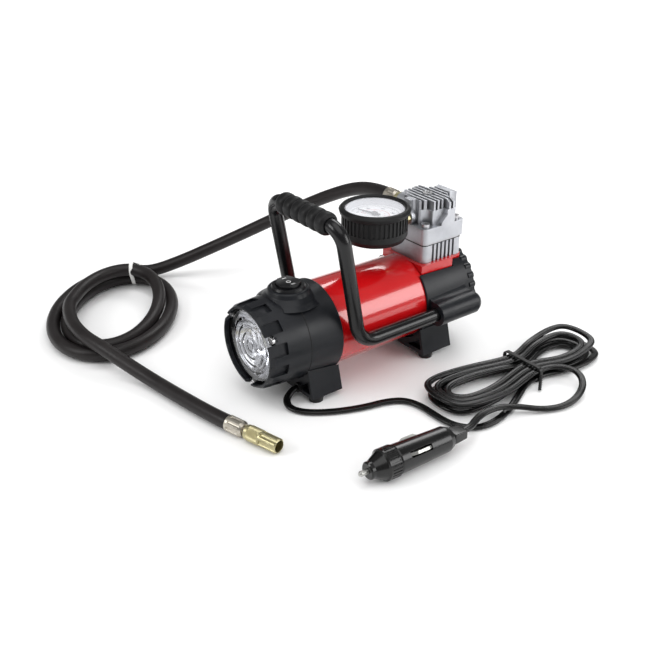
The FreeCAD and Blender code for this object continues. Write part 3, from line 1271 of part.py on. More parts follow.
# Hose coil: an oval spiral of two and a quarter turns. It starts at the tie, runs inwards on the
# floor, and climbs in its second turn to lie on top of the turns below
COIL_X = -167.0
COIL_Y = -108.0
COIL_TURNED = 141.0   # direction of the coil's long axis, towards the tie, from +X
COIL_HALF_LENGTH = 78.0
COIL_HALF_WIDTH = 52.0
COIL_STEP_LONG = 13.0     # inwards per turn at the ends of the oval
COIL_STEP_WIDE = 11.2     # and at its sides
COIL_LAYER = 10.9
COIL_CLIMB = 1.55     # turns before the climb starts
COIL_TURNS = 2.25
TIE_THICK = 0.85
TIE_GAP = 0.35
HOSE_Z = HOSE_D / 2 + TIE_THICK + TIE_GAP
HOSE_END_Z = FERRULE_R + 0.1


def coil_point(turn):
    phi = 2 * math.pi * turn
    climbed = min(1.0, max(0.0, (turn - COIL_CLIMB) / (2.0 - COIL_CLIMB)))
    inwards = turn - 0.95 * climbed * (turn - COIL_CLIMB)
    along = (COIL_HALF_LENGTH - COIL_STEP_LONG * inwards) * math.cos(phi)
    aside = (COIL_HALF_WIDTH - COIL_STEP_WIDE * inwards) * math.sin(phi)
    height = HOSE_Z + COIL_LAYER * climbed * climbed * (3 - 2 * climbed)
    flat = V(along, aside, height)
    turned_flat = FreeCAD.Rotation(Z_AXIS, COIL_TURNED).multVec(flat)
    return V(COIL_X, COIL_Y, 0) + turned_flat


def coil_places():
    """Points and headings along the coil, six to a turn and closer on the climb."""
    steps = 6
    turns = [n / steps for n in range(int(COIL_TURNS * steps) + 1)]
    if turns[-1] < COIL_TURNS:
        turns.append(COIL_TURNS)
    places = []
    for turn in turns:
        heading = coil_point(turn + 0.005) - coil_point(turn - 0.005)
        places.append((coil_point(turn), heading.normalize()))
    return places


COIL = coil_places()

# The hose from the head down to the coil, by hand
STRAIGHT_IN = 14.0    # at each end a route runs straight for this long
HOSE_ROUTE_LEAD = [
    HOSE_START, HOSE_START - X_AXIS * STRAIGHT_IN, V(-74, HOSE_START.y - 1.0, 100.5), V(-100, 54.5, 88),
    V(-126, 45.5, 72.5), V(-150, 32, 56.5), V(-172, 14, 40.5), V(-191, -8, 26), V(-206, -29, 14.5),
    COIL[0][0] - COIL[0][1] * STRAIGHT_IN, COIL[0][0]]

# The hose from the coil across its own turns to the chuck
HOSE_TIP = V(22.5, -122.2, HOSE_END_Z)
HOSE_ROUTE_TAIL = [
    COIL[-1][0], COIL[-1][0] + COIL[-1][1] * STRAIGHT_IN, V(-152, -153, HOSE_Z + COIL_LAYER + 0.4),
    V(-124, -155.5, HOSE_Z + COIL_LAYER + 0.4), V(-101, -150.5, 16.2), V(-82, -144, 10.8),
    V(-56, -136.5, HOSE_END_Z + 0.2), V(-24, -131.5, HOSE_END_Z),
    HOSE_TIP - free_heading() * STRAIGHT_IN, HOSE_TIP]


def air_hose_lead():
    return free_tube("air_hose_lead", HOSE_ROUTE_LEAD, HOSE_D)


def air_hose_coil():
    return wound_tube("air_hose_coil", COIL, HOSE_D)


def air_hose_tail():
    return free_tube("air_hose_tail", HOSE_ROUTE_TAIL, HOSE_D)


def band_round(centres, radius, thickness, along, width):
    """A strap pulled round several strands. The centres go round in order."""
    loops = []
    middle = centres[0] * 0
    for centre in centres:
        middle = middle + centre * (1.0 / len(centres))
    for reach in (radius + thickness, radius):
        pieces = [Part.Face(Part.makePolygon(centres + centres[:1])).extrude(along * width)]
        for one, other in zip(centres, centres[1:] + centres[:1]):
            side = (other - one).cross(along).normalize() * reach
            if side.dot(one - middle) < 0:
                side = side * -1
            corners = [one, one + side, other + side, other]
            pieces.append(Part.Face(Part.makePolygon(corners + corners[:1])).extrude(along * width))
            pieces.append(rod(reach, one, along, width))
        loops.append(joined(pieces))
    return loops[0].cut(loops[1])


def hose_tie():
    """A cable tie round the three strands at the coil's end, with its ratchet head on the outside."""
    steps = (0.0, 1.0, 2.0)
    centres = [coil_point(turn) for turn in steps]
    heading = (coil_point(0.01) - coil_point(-0.01))
    heading = V(heading.x, heading.y, 0).normalize()
    centres = [c - heading * ((c - centres[0]).dot(heading) + TIE_WIDTH / 2) for c in centres]
    outer, second, top = centres
    strap = band_round([outer, second, top], HOSE_D / 2 + TIE_GAP, TIE_THICK, heading, TIE_WIDTH)
    out = V(outer.x - second.x, outer.y - second.y, 0).normalize()
    seat = outer + out * (HOSE_D / 2 + TIE_GAP + TIE_THICK * 0.5) + heading * (TIE_WIDTH / 2)
    head = Part.makeBox(4.0, TIE_WIDTH + 2.5, 5.0, V(0, -(TIE_WIDTH + 2.5) / 2, -2.5))
    head.rotate(ORIGIN, Z_AXIS, COIL_TURNED)
    head.translate(seat)
    return joined([strap, head])


# Power cord: from the gland to the hank, the hank itself, and from the hank to the plug
CORD_Z = CORD_D / 2
HANK_X = 88.0
HANK_Y = 86.0         # the waist, where the tie is
HANK_NEAR = 84.0      # waist to the near end
HANK_FAR = 66.0       # waist to the far end
HANK_WAIST = 14.5     # half widths of the outermost turn
HANK_LOBE = 22.5
HANK_STEP = 5.3       # inwards per turn
HANK_LAYER = 4.9
HANK_TURNS = 2.5      # in each of the two layers
HANK_Z = CORD_Z + TIE_THICK + TIE_GAP
HANK_LOBE_AT = 28.0   # from each end to the widest place of its lobe


def hank_places():
    """Points and headings: inwards on the lower layer, up one layer at the waist, and outwards."""
    lobes = ((HANK_WAIST, 0, 1), (HANK_LOBE, HANK_FAR - HANK_LOBE_AT, 1), (0, HANK_FAR, 0),
             (-HANK_LOBE, HANK_FAR - HANK_LOBE_AT, -1), (-HANK_WAIST, 0, -1),
             (-HANK_LOBE, HANK_LOBE_AT - HANK_NEAR, -1), (0, -HANK_NEAR, 0),
             (HANK_LOBE, HANK_LOBE_AT - HANK_NEAR, 1))
    count = int(2 * HANK_TURNS * len(lobes))
    half = count // 2
    places = []
    for n in range(count + 1):
        x, y, course = lobes[n % len(lobes)]
        inwards = (n if n <= half else count - n) * HANK_STEP / len(lobes)
        height = HANK_Z if n <= half else HANK_Z + HANK_LAYER
        if course == 0:
            heading = V(-1 if y > 0 else 1, 0, 0)
            y = y - math.copysign(inwards, y)
        else:
            heading = V(0, course, 0)
            x = x - math.copysign(inwards, x)
        places.append((V(HANK_X + x, HANK_Y + y, height), heading))
    return places


HANK = hank_places()

# The cord's two free stretches, by hand
CORD_EXIT = V(CORD_X, foot_places()[0][0], CORD_UP)
CORD_ROUTE_LEAD = [
    CORD_EXIT, CORD_EXIT - Y_AXIS * 4.5, V(17.3, -71, 5.6), V(20, -77.5, 3.0), V(27.5, -81.5, CORD_Z),
    V(36.5, -77, CORD_Z),
    V(44, -65, CORD_Z), V(52, -50, CORD_Z), V(57.5, -34, CORD_Z), V(60.5, -19, CORD_Z), V(67, -8, CORD_Z),
    V(79, -4, CORD_Z), V(94, -4.5, CORD_Z), V(109, -3.3, CORD_Z), V(120, 4.5, CORD_Z), V(123.5, 17, CORD_Z),
    V(121.5, 31, CORD_Z), V(117, 44, CORD_Z), V(110.5, 58, CORD_Z), V(104.6, 70, HANK_Z - 0.3),
    HANK[0][0] - HANK[0][1] * 7, HANK[0][0]]
CORD_ROUTE_TAIL = [
    HANK[-1][0], HANK[-1][0] + HANK[-1][1] * 7, V(104.6, 100, HANK_Z + HANK_LAYER),
    V(111, 107, HANK_Z + HANK_LAYER),
    V(122, 108, HANK_Z + HANK_LAYER - 0.4), V(132.5, 100, 6.0), V(138, 86, 3.0), V(138.5, 71, CORD_Z + 0.3),
    V(132.5, 57, 2.9), V(124, 44, 5.8), V(118, 31, 7.7), V(116.8, 18, 7.8), V(120.5, 6, 8.8)]


def power_cord_lead():
    return free_tube("power_cord_lead", CORD_ROUTE_LEAD, CORD_D)


def power_cord_hank():
    return wound_tube("power_cord_hank", HANK, CORD_D)


def power_cord_tail():
    ends = [plug_point(PLUG_LENGTH + RELIEF_LENGTH + 6), plug_point(PLUG_LENGTH + 2)]
    return free_tube("power_cord_tail", CORD_ROUTE_TAIL + ends, CORD_D)


def hank_tie():
    """A twist tie wound flat round the hank's waist."""
    half = HANK_WAIST
    y = HANK_Y - HANK_TIE_WIDTH / 2
    centres = [V(HANK_X - half, y, HANK_Z), V(HANK_X + half, y, HANK_Z),
               V(HANK_X + half, y, HANK_Z + HANK_LAYER), V(HANK_X - half, y, HANK_Z + HANK_LAYER)]
    return band_round(centres, CORD_D / 2 + TIE_GAP, TIE_THICK, Y_AXIS, HANK_TIE_WIDTH)


# Plug
PLUG_LENGTH = PLUG_PIN_OUT + PLUG_NOSE + PLUG_CONE + PLUG_BAND + PLUG_BODY
PLUG_HEADING = FreeCAD.Rotation(Z_AXIS, -PLUG_TURNED).multVec(Y_AXIS)
PLUG_ASIDE = PLUG_HEADING.cross(Z_AXIS)
PLUG_TIP = V(PLUG_X, PLUG_TIP_Y, PLUG_R)
CAP_START = PLUG_PIN_OUT
BAND_START = CAP_START + PLUG_NOSE + PLUG_CONE
BODY_START = BAND_START + PLUG_BAND
PIN_FLANGE_R = 3.4
PIN_FLANGE_AT = CAP_START + PLUG_NOSE + 2.0
PIN_END = PIN_FLANGE_AT + 5.0


def plug_point(distance):
    """A point on the plug's axis, from the tip of its pin."""
    return PLUG_TIP + PLUG_HEADING * distance


def plug_turned(points):
    return turned(points, PLUG_TIP, PLUG_HEADING, Z_AXIS)


def plug_cap():
    """The ring that screws onto the body and holds the pin, with a knurled band."""
    cavity = PIN_FLANGE_R + 0.6
    bore = PLUG_PIN_R + RUN
    cap = plug_turned([
        (bore, CAP_START), (PLUG_NOSE_R - 0.8, CAP_START), (PLUG_NOSE_R, CAP_START + 0.8),
        (PLUG_NOSE_R, CAP_START + PLUG_NOSE), (PLUG_R - 1.2, BAND_START - 0.8), (PLUG_R, BAND_START),
        (PLUG_R, BODY_START - 0.6), (PLUG_R - 0.6, BODY_START), (cavity, BODY_START),
        (cavity, PIN_FLANGE_AT), (bore, PIN_FLANGE_AT)])
    groove = Part.makeBox(1.4, 1.0, PLUG_BAND - 2.0, V(PLUG_R - 0.5, -0.5, BAND_START + 1.0))
    grooves = []
    for n in range(PLUG_KNURLS):
        one = groove.copy()
        one.rotate(ORIGIN, Z_AXIS, 360.0 * n / PLUG_KNURLS)
        grooves.append(one)
    knurl = group(grooves)
    knurl.Placement = FreeCAD.Placement(PLUG_TIP, FreeCAD.Rotation(Z_AXIS, PLUG_HEADING))
    return cap.cut(knurl)


def plug_tip():
    """The centre contact: a round pin with a collar that stops it in the cap."""
    return plug_turned([
        (0, 0), (PLUG_PIN_R * 0.55, 0), (PLUG_PIN_R, PLUG_PIN_R * 0.6), (PLUG_PIN_R, PIN_FLANGE_AT + AIR),
        (PIN_FLANGE_R, PIN_FLANGE_AT + AIR), (PIN_FLANGE_R, PIN_END - 1.0), (PLUG_PIN_R, PIN_END - 1.0),
        (PLUG_PIN_R, PIN_END + 2.0), (0, PIN_END + 2.0)])


def contact_frame(side):
    """Where a side contact sits, how far out it points, and across the slot."""
    out = (PLUG_ASIDE * math.cos(math.radians(CONTACT_AT)) * side
           + Z_AXIS * math.sin(math.radians(CONTACT_AT))).normalize()
    across = out.cross(PLUG_HEADING)
    return plug_point(BODY_START + CONTACT_BACK), out, across


def contact_block(side, r0, r1, margin):
    """A block that follows the plug's length, from one radius to another."""
    start, out, across = contact_frame(side)
    half = CONTACT_WIDTH / 2 + margin
    length = CONTACT_LENGTH + 2 * margin
    base = start - PLUG_HEADING * margin + out * r0
    corners = [base + across * half, base - across * half,
               base - across * half + PLUG_HEADING * length, base + across * half + PLUG_HEADING * length]
    return Part.Face(Part.makePolygon(corners + corners[:1])).extrude(out * (r1 - r0))


def plug_body():
    """The rear shell: hollow, with a slot each side for the sprung contacts."""
    wall_in = PLUG_BODY_R - PLUG_WALL
    end = PLUG_LENGTH
    body = plug_turned([
        (0, BODY_START + 4.0), (0, BODY_START + SEAT), (PLUG_BODY_R - 0.4, BODY_START + SEAT),
        (PLUG_BODY_R, BODY_START + 1.0), (PLUG_BODY_REAR_R, end - 5.0), (PLUG_BODY_REAR_R - 1.6, end - 1.2),
        (PLUG_BODY_REAR_R - 4.0, end), (2.6, end), (2.6, end - PLUG_WALL),
        (PLUG_BODY_REAR_R - PLUG_WALL - 1, end - PLUG_WALL - 3), (wall_in - 0.4, BODY_START + 4.0)])
    for side in (-1, 1):
        body = body.cut(contact_block(side, wall_in - 2, PLUG_BODY_R + 2, AIR))
    return body


def plug_contact(side):
    """A sprung side contact: a tapered blade with a foot inside the shell."""
    start, out, across = contact_frame(side)
    wall_in = PLUG_BODY_R - PLUG_WALL
    top = PLUG_BODY_R + CONTACT_PROUD
    low = wall_in - CONTACT_TRAVEL - 0.6
    profile = [(0, low), (0, PLUG_BODY_R - 1.2), (4.0, top), (CONTACT_LENGTH - 3.0, top),
               (CONTACT_LENGTH, PLUG_BODY_R - 1.2), (CONTACT_LENGTH, low)]
    base = start - across * (CONTACT_WIDTH / 2)
    corners = [base + PLUG_HEADING * along + out * r for along, r in profile]
    return Part.Face(Part.makePolygon(corners + corners[:1])).extrude(across * CONTACT_WIDTH)


def plug_contact_left():
    return plug_contact(-1)


def plug_contact_right():
    return plug_contact(1)


def plug_relief():
    """The flat ribbed boot that keeps the cord from kinking at the plug's rear."""
    start = PLUG_LENGTH - PLUG_WALL
    blocks = []
    ribs = 5
    pitch = RELIEF_LENGTH / ribs
    for n in range(ribs):
        for share, width, height in ((0.0, RELIEF_WIDTH, RELIEF_HEIGHT), (0.6, RELIEF_WIDTH - 1.6, RELIEF_HEIGHT - 1.4)):
            taper = 1 - 0.22 * (n + share) / ribs
            slab = Part.makeBox(width * taper, height * taper, pitch * (0.6 if share == 0.0 else 0.4) + 0.02,
                                V(-width * taper / 2, -height * taper / 2, (n + share) * pitch))
            blocks.append(slab)
    boot = joined(blocks)
    boot.Placement = FreeCAD.Placement(plug_point(PLUG_LENGTH + SEAT), FreeCAD.Rotation(PLUG_ASIDE, Z_AXIS * -1, PLUG_HEADING, "ZXY"))
    stem = rod(2.6 - SEAT, plug_point(start), PLUG_HEADING, PLUG_WALL + 1)
    cord_way = rod(CORD_D / 2 + SEAT, plug_point(PLUG_LENGTH + 1.5), PLUG_HEADING, RELIEF_LENGTH + 5)
    return joined([boot, stem]).cut(cord_way)


NODES = {
    "lamp_housing": lamp_housing,
    "lamp_lens": lamp_lens,
    "lamp_reflector": lamp_reflector,
    "led_module": led_module,
    "lens_screws": lens_screws,
    "front_housing": front_housing,
    "switch_bezel": switch_bezel,
    "switch_rocker": switch_rocker,
    "motor_tube": motor_tube,
    "motor_magnets": motor_magnets,
    "armature_core": armature_core,
    "armature_windings": armature_windings,
    "commutator": commutator,
    "motor_shaft": motor_shaft,
    "drive_pinion": drive_pinion,
    "crank_gear": crank_gear,
    "motor_bearings": motor_bearings,
    "brush_plate": brush_plate,
    "carbon_brushes": carbon_brushes,
    "crankcase": crankcase,
    "cylinder_block": cylinder_block,
    "cylinder_liner": cylinder_liner,
    "head_gasket": head_gasket,
    "valve_plate": valve_plate,
    "cylinder_head": cylinder_head,
    "head_screws": head_screws,
    "piston": piston,
    "gudgeon_pin": gudgeon_pin,
    "connecting_rod": connecting_rod,
    "rear_cover": rear_cover,
    "rear_cover_screws": rear_cover_screws,
    "handle_tube": handle_tube,
    "handle_grip": handle_grip,
    "foot_saddles": foot_saddles,
    "foot_pads": foot_pads,
    "cord_gland": cord_gland,
    "gauge_boot": gauge_boot,
    "gauge_case": gauge_case,
    "gauge_dial": gauge_dial,
    "gauge_needle": gauge_needle,
    "gauge_glass": gauge_glass,
    "gauge_stem": gauge_stem,
    "hose_fitting": hose_fitting,
    "hose_ferrule": hose_ferrule,
    "air_hose_lead": air_hose_lead,
    "air_hose_coil": air_hose_coil,
    "air_hose_tail": air_hose_tail,
    "chuck_ferrule": chuck_ferrule,
    "tire_chuck": tire_chuck,
    "hose_tie": hose_tie,
    "power_cord_lead": power_cord_lead,
    "power_cord_hank": power_cord_hank,
    "power_cord_tail": power_cord_tail,
    "hank_tie": hank_tie,
    "plug_cap": plug_cap,
    "plug_tip": plug_tip,
    "plug_body": plug_body,
    "plug_contact_left": plug_contact_left,
    "plug_contact_right": plug_contact_right,
    "plug_relief": plug_relief,
}

os.makedirs("parts", exist_ok=True)
for node, make in NODES.items():
    shape = make()
    solids = shape.Solids
    if not shape.isValid() or not solids:
        print(f"{node}: not a valid solid")
    shape.exportStep(f"parts/{node}.step")
    print(f"{node}: {len(solids)} solids, {shape.Volume / 1000:.2f} cm3")
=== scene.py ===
import json
import math

import bmesh
import bpy
from mathutils import Matrix, Vector


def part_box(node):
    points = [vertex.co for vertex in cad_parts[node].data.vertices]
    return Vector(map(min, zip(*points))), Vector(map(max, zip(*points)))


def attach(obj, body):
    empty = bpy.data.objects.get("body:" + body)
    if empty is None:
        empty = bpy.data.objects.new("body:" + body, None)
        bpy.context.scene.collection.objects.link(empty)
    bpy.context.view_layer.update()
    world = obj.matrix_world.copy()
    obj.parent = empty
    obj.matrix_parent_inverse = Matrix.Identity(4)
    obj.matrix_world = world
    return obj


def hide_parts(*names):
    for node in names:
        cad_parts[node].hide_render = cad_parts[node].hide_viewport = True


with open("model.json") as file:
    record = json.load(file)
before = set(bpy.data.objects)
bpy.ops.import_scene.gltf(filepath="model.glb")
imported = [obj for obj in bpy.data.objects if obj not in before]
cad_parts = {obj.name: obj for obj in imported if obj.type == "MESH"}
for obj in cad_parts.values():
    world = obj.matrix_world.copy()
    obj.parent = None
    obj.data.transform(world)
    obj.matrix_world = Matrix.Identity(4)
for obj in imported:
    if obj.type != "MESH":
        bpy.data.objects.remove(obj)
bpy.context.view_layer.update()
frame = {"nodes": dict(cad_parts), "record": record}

NODES = frame["nodes"]
MM = 0.001


def mm(x, y, z):
    """A place given in millimetres, in metres."""
    return Vector((x * MM, y * MM, z * MM))


def in_scene(name, data):
    """A new object with this data, in the scene."""
    piece = bpy.data.objects.new(name, data)
    bpy.context.scene.collection.objects.link(piece)
    return piece


def net_mesh(name, net, smooth=False):
    """The mesh of a bmesh, which is then freed."""
    mesh = bpy.data.meshes.new(name)
    net.to_mesh(mesh)
    net.free()
    for face in mesh.polygons:
        face.use_smooth = smooth
    return mesh


# Places on the object, in millimetres
AXIS_Z = 42.0
GAUGE_Y = 17.5
DIAL_TOP = 111.0
SWITCH_Y = -57.0
ROCKER_TOP = 80.4


# Materials: patterns lie on the object's own coordinates, and lengths are in metres
SAMPLES = 6               # for softened edges and shaded hollows
# Painted shade in a casting's hollows: how far the occlusion looks, and how dark the shade is as a
# share of the dark colour
HOLLOW_DEPTH = 0.004
HOLLOW_SHADE = 0.55


def new_material(name):
    """A material, its nodes, links and shader, and the node that gives patterns their place."""
    material = bpy.data.materials.new(name)
    material.use_nodes = True
    nodes = material.node_tree.nodes
    shader = nodes["Principled BSDF"]
    place = nodes.new("ShaderNodeTexCoord")
    return material, nodes, material.node_tree.links, shader, place


def noise(nodes, links, place, scale, detail=4.0, roughness=0.6):
    """A cloudy pattern from 0 to 1."""
    texture = nodes.new("ShaderNodeTexNoise")
    texture.inputs["Scale"].default_value = scale
    texture.inputs["Detail"].default_value = detail
    texture.inputs["Roughness"].default_value = roughness
    links.new(place.outputs["Object"], texture.inputs["Vector"])
    return texture.outputs["Fac"]


def spread(nodes, links, value, low, high, start=0.3, end=0.7):
    """Maps a 0 to 1 pattern onto a range of values."""
    span = nodes.new("ShaderNodeMapRange")
    span.inputs["From Min"].default_value = start
    span.inputs["From Max"].default_value = end
    span.inputs["To Min"].default_value = low
    span.inputs["To Max"].default_value = high
    links.new(value, span.inputs["Value"])
    return span.outputs["Result"]


def mixed(nodes, links, factor, first, second):
    """A colour between two, by a pattern."""
    mix = nodes.new("ShaderNodeMix")
    mix.data_type = "RGBA"
    links.new(factor, mix.inputs[0])
    for socket, colour in ((mix.inputs[6], first), (mix.inputs[7], second)):
        if isinstance(colour, bpy.types.NodeSocket):
            links.new(colour, socket)
        else:
            socket.default_value = (*colour, 1.0)
    return mix.outputs[2]


def vary_colour(nodes, links, shader, pattern, dark, light):
    """Lets the shader's colour follow a pattern from dark to light."""
    colour = mixed(nodes, links, spread(nodes, links, pattern, 0.0, 1.0), dark, light)
    links.new(colour, shader.inputs["Base Color"])


def vary_roughness(nodes, links, shader, pattern, low, high):
    """Lets the shader's roughness follow a pattern."""
    links.new(spread(nodes, links, pattern, low, high), shader.inputs["Roughness"])


def relief(nodes, links, shader, height, strength, depth, edge):
    """Bumps from a pattern, over edges that are softened by a radius."""
    bump = nodes.new("ShaderNodeBump")
    bump.inputs["Strength"].default_value = strength
    bump.inputs["Distance"].default_value = depth
    links.new(height, bump.inputs["Height"])
    soft = nodes.new("ShaderNodeBevel")
    soft.samples = SAMPLES
    soft.inputs["Radius"].default_value = edge
    links.new(soft.outputs["Normal"], bump.inputs["Normal"])
    links.new(bump.outputs["Normal"], shader.inputs["Normal"])


def moulded(name, dark, light, gloss, grain, edge=0.0004):
    """Moulded plastic or pressed board: a fine grain, faint flow marks and dusty highlights."""
    material, nodes, links, shader, place = new_material(name)
    broad = noise(nodes, links, place, scale=45.0, detail=5.0)
    fine = noise(nodes, links, place, scale=grain, detail=2.0, roughness=0.5)
    vary_colour(nodes, links, shader, broad, dark, light)
    vary_roughness(nodes, links, shader, broad, gloss - 0.05, gloss + 0.06)
    shader.inputs["Specular IOR Level"].default_value = 0.3
    relief(nodes, links, shader, fine, strength=0.25, depth=0.00005, edge=edge)
    return material


def painted(name, dark, light, gloss, coat, orange_peel, shine=0.5):
    """Glossy paint or vinyl with a little orange peel under a clear coat."""
    material, nodes, links, shader, place = new_material(name)
    broad = noise(nodes, links, place, scale=30.0, detail=3.0)
    peel = noise(nodes, links, place, scale=420.0, detail=1.0, roughness=0.4)
    vary_colour(nodes, links, shader, broad, dark, light)
    vary_roughness(nodes, links, shader, broad, gloss - 0.02, gloss + 0.04)
    shader.inputs["Specular IOR Level"].default_value = shine
    shader.inputs["Coat Weight"].default_value = coat
    shader.inputs["Coat Roughness"].default_value = 0.05
    relief(nodes, links, shader, peel, strength=orange_peel, depth=0.00003, edge=0.0003)
    return material


def cast(name, dark, light, gloss):
    """A blasted light-metal casting: sandy grain, and painted shade that darkens its hollows."""
    material, nodes, links, shader, place = new_material(name)
    shader.inputs["Metallic"].default_value = 0.85
    broad = noise(nodes, links, place, scale=60.0, detail=6.0)
    sand = noise(nodes, links, place, scale=900.0, detail=2.0, roughness=0.7)
    colour = mixed(nodes, links, spread(nodes, links, broad, 0.0, 1.0), dark, light)
    # Painted shade: where ambient occlusion finds a hollow, the base colour darkens towards a
    # shaded dark colour
    hollow = nodes.new("ShaderNodeAmbientOcclusion")
    hollow.samples = SAMPLES
    hollow.inputs["Distance"].default_value = HOLLOW_DEPTH
    openness = spread(nodes, links, hollow.outputs["AO"], 0.0, 1.0, 0.2, 0.9)
    painted_shade_colour = mixed(nodes, links, openness, tuple(HOLLOW_SHADE * c for c in dark), colour)
    links.new(painted_shade_colour, shader.inputs["Base Color"])
    vary_roughness(nodes, links, shader, sand, gloss - 0.06, gloss + 0.08)
    relief(nodes, links, shader, sand, strength=0.4, depth=0.00008, edge=0.0005)
    return material


def turned_metal(name, dark, light, gloss):
    """Machined metal: fine tool lines and a little tarnish."""
    material, nodes, links, shader, place = new_material(name)
    shader.inputs["Metallic"].default_value = 1.0
    broad = noise(nodes, links, place, scale=120.0, detail=5.0)
    lines = noise(nodes, links, place, scale=1500.0, detail=2.0, roughness=0.5)
    vary_colour(nodes, links, shader, broad, dark, light)
    vary_roughness(nodes, links, shader, broad, gloss - 0.05, gloss + 0.08)
    relief(nodes, links, shader, lines, strength=0.15, depth=0.00003, edge=0.0002)
    return material


def rubber(name, dark, light, gloss):
    """Matte rubber with a faint bloom."""
    material, nodes, links, shader, place = new_material(name)
    broad = noise(nodes, links, place, scale=70.0, detail=6.0)
    fine = noise(nodes, links, place, scale=700.0, detail=3.0)
    vary_colour(nodes, links, shader, broad, dark, light)
    vary_roughness(nodes, links, shader, broad, gloss - 0.05, gloss + 0.07)
    shader.inputs["Specular IOR Level"].default_value = 0.3
    relief(nodes, links, shader, fine, strength=0.18, depth=0.00006, edge=0.0004)
    return material


def clear(name, tint, index, gloss):
    """A thick clear moulding that bends what lies behind it."""
    material, nodes, links, shader, place = new_material(name)
    shader.inputs["Base Color"].default_value = (*tint, 1.0)
    shader.inputs["Transmission Weight"].default_value = 1.0
    shader.inputs["IOR"].default_value = index
    haze = noise(nodes, links, place, scale=90.0)
    vary_roughness(nodes, links, shader, haze, gloss, gloss + 0.05)
    return material


def thin_clear(name, tint, gloss, body):
    """A flat clear pane: body is how much of what lies behind it the pane hides."""
    material, nodes, links, shader, place = new_material(name)
    shader.inputs["Base Color"].default_value = (*tint, 1.0)
    shader.inputs["Alpha"].default_value = body
    haze = noise(nodes, links, place, scale=90.0)
    vary_roughness(nodes, links, shader, haze, gloss, gloss + 0.05)
    return material


def flat_print(name, colour, gloss=0.5):
    """Printing ink or flat paint with slightly uneven cover."""
    material, nodes, links, shader, place = new_material(name)
    grain = noise(nodes, links, place, scale=900.0, detail=2.0)
    light = tuple(min(1.0, c * 1.15 + 0.01) for c in colour)
    vary_colour(nodes, links, shader, grain, colour, light)
    shader.inputs["Roughness"].default_value = gloss
    return material


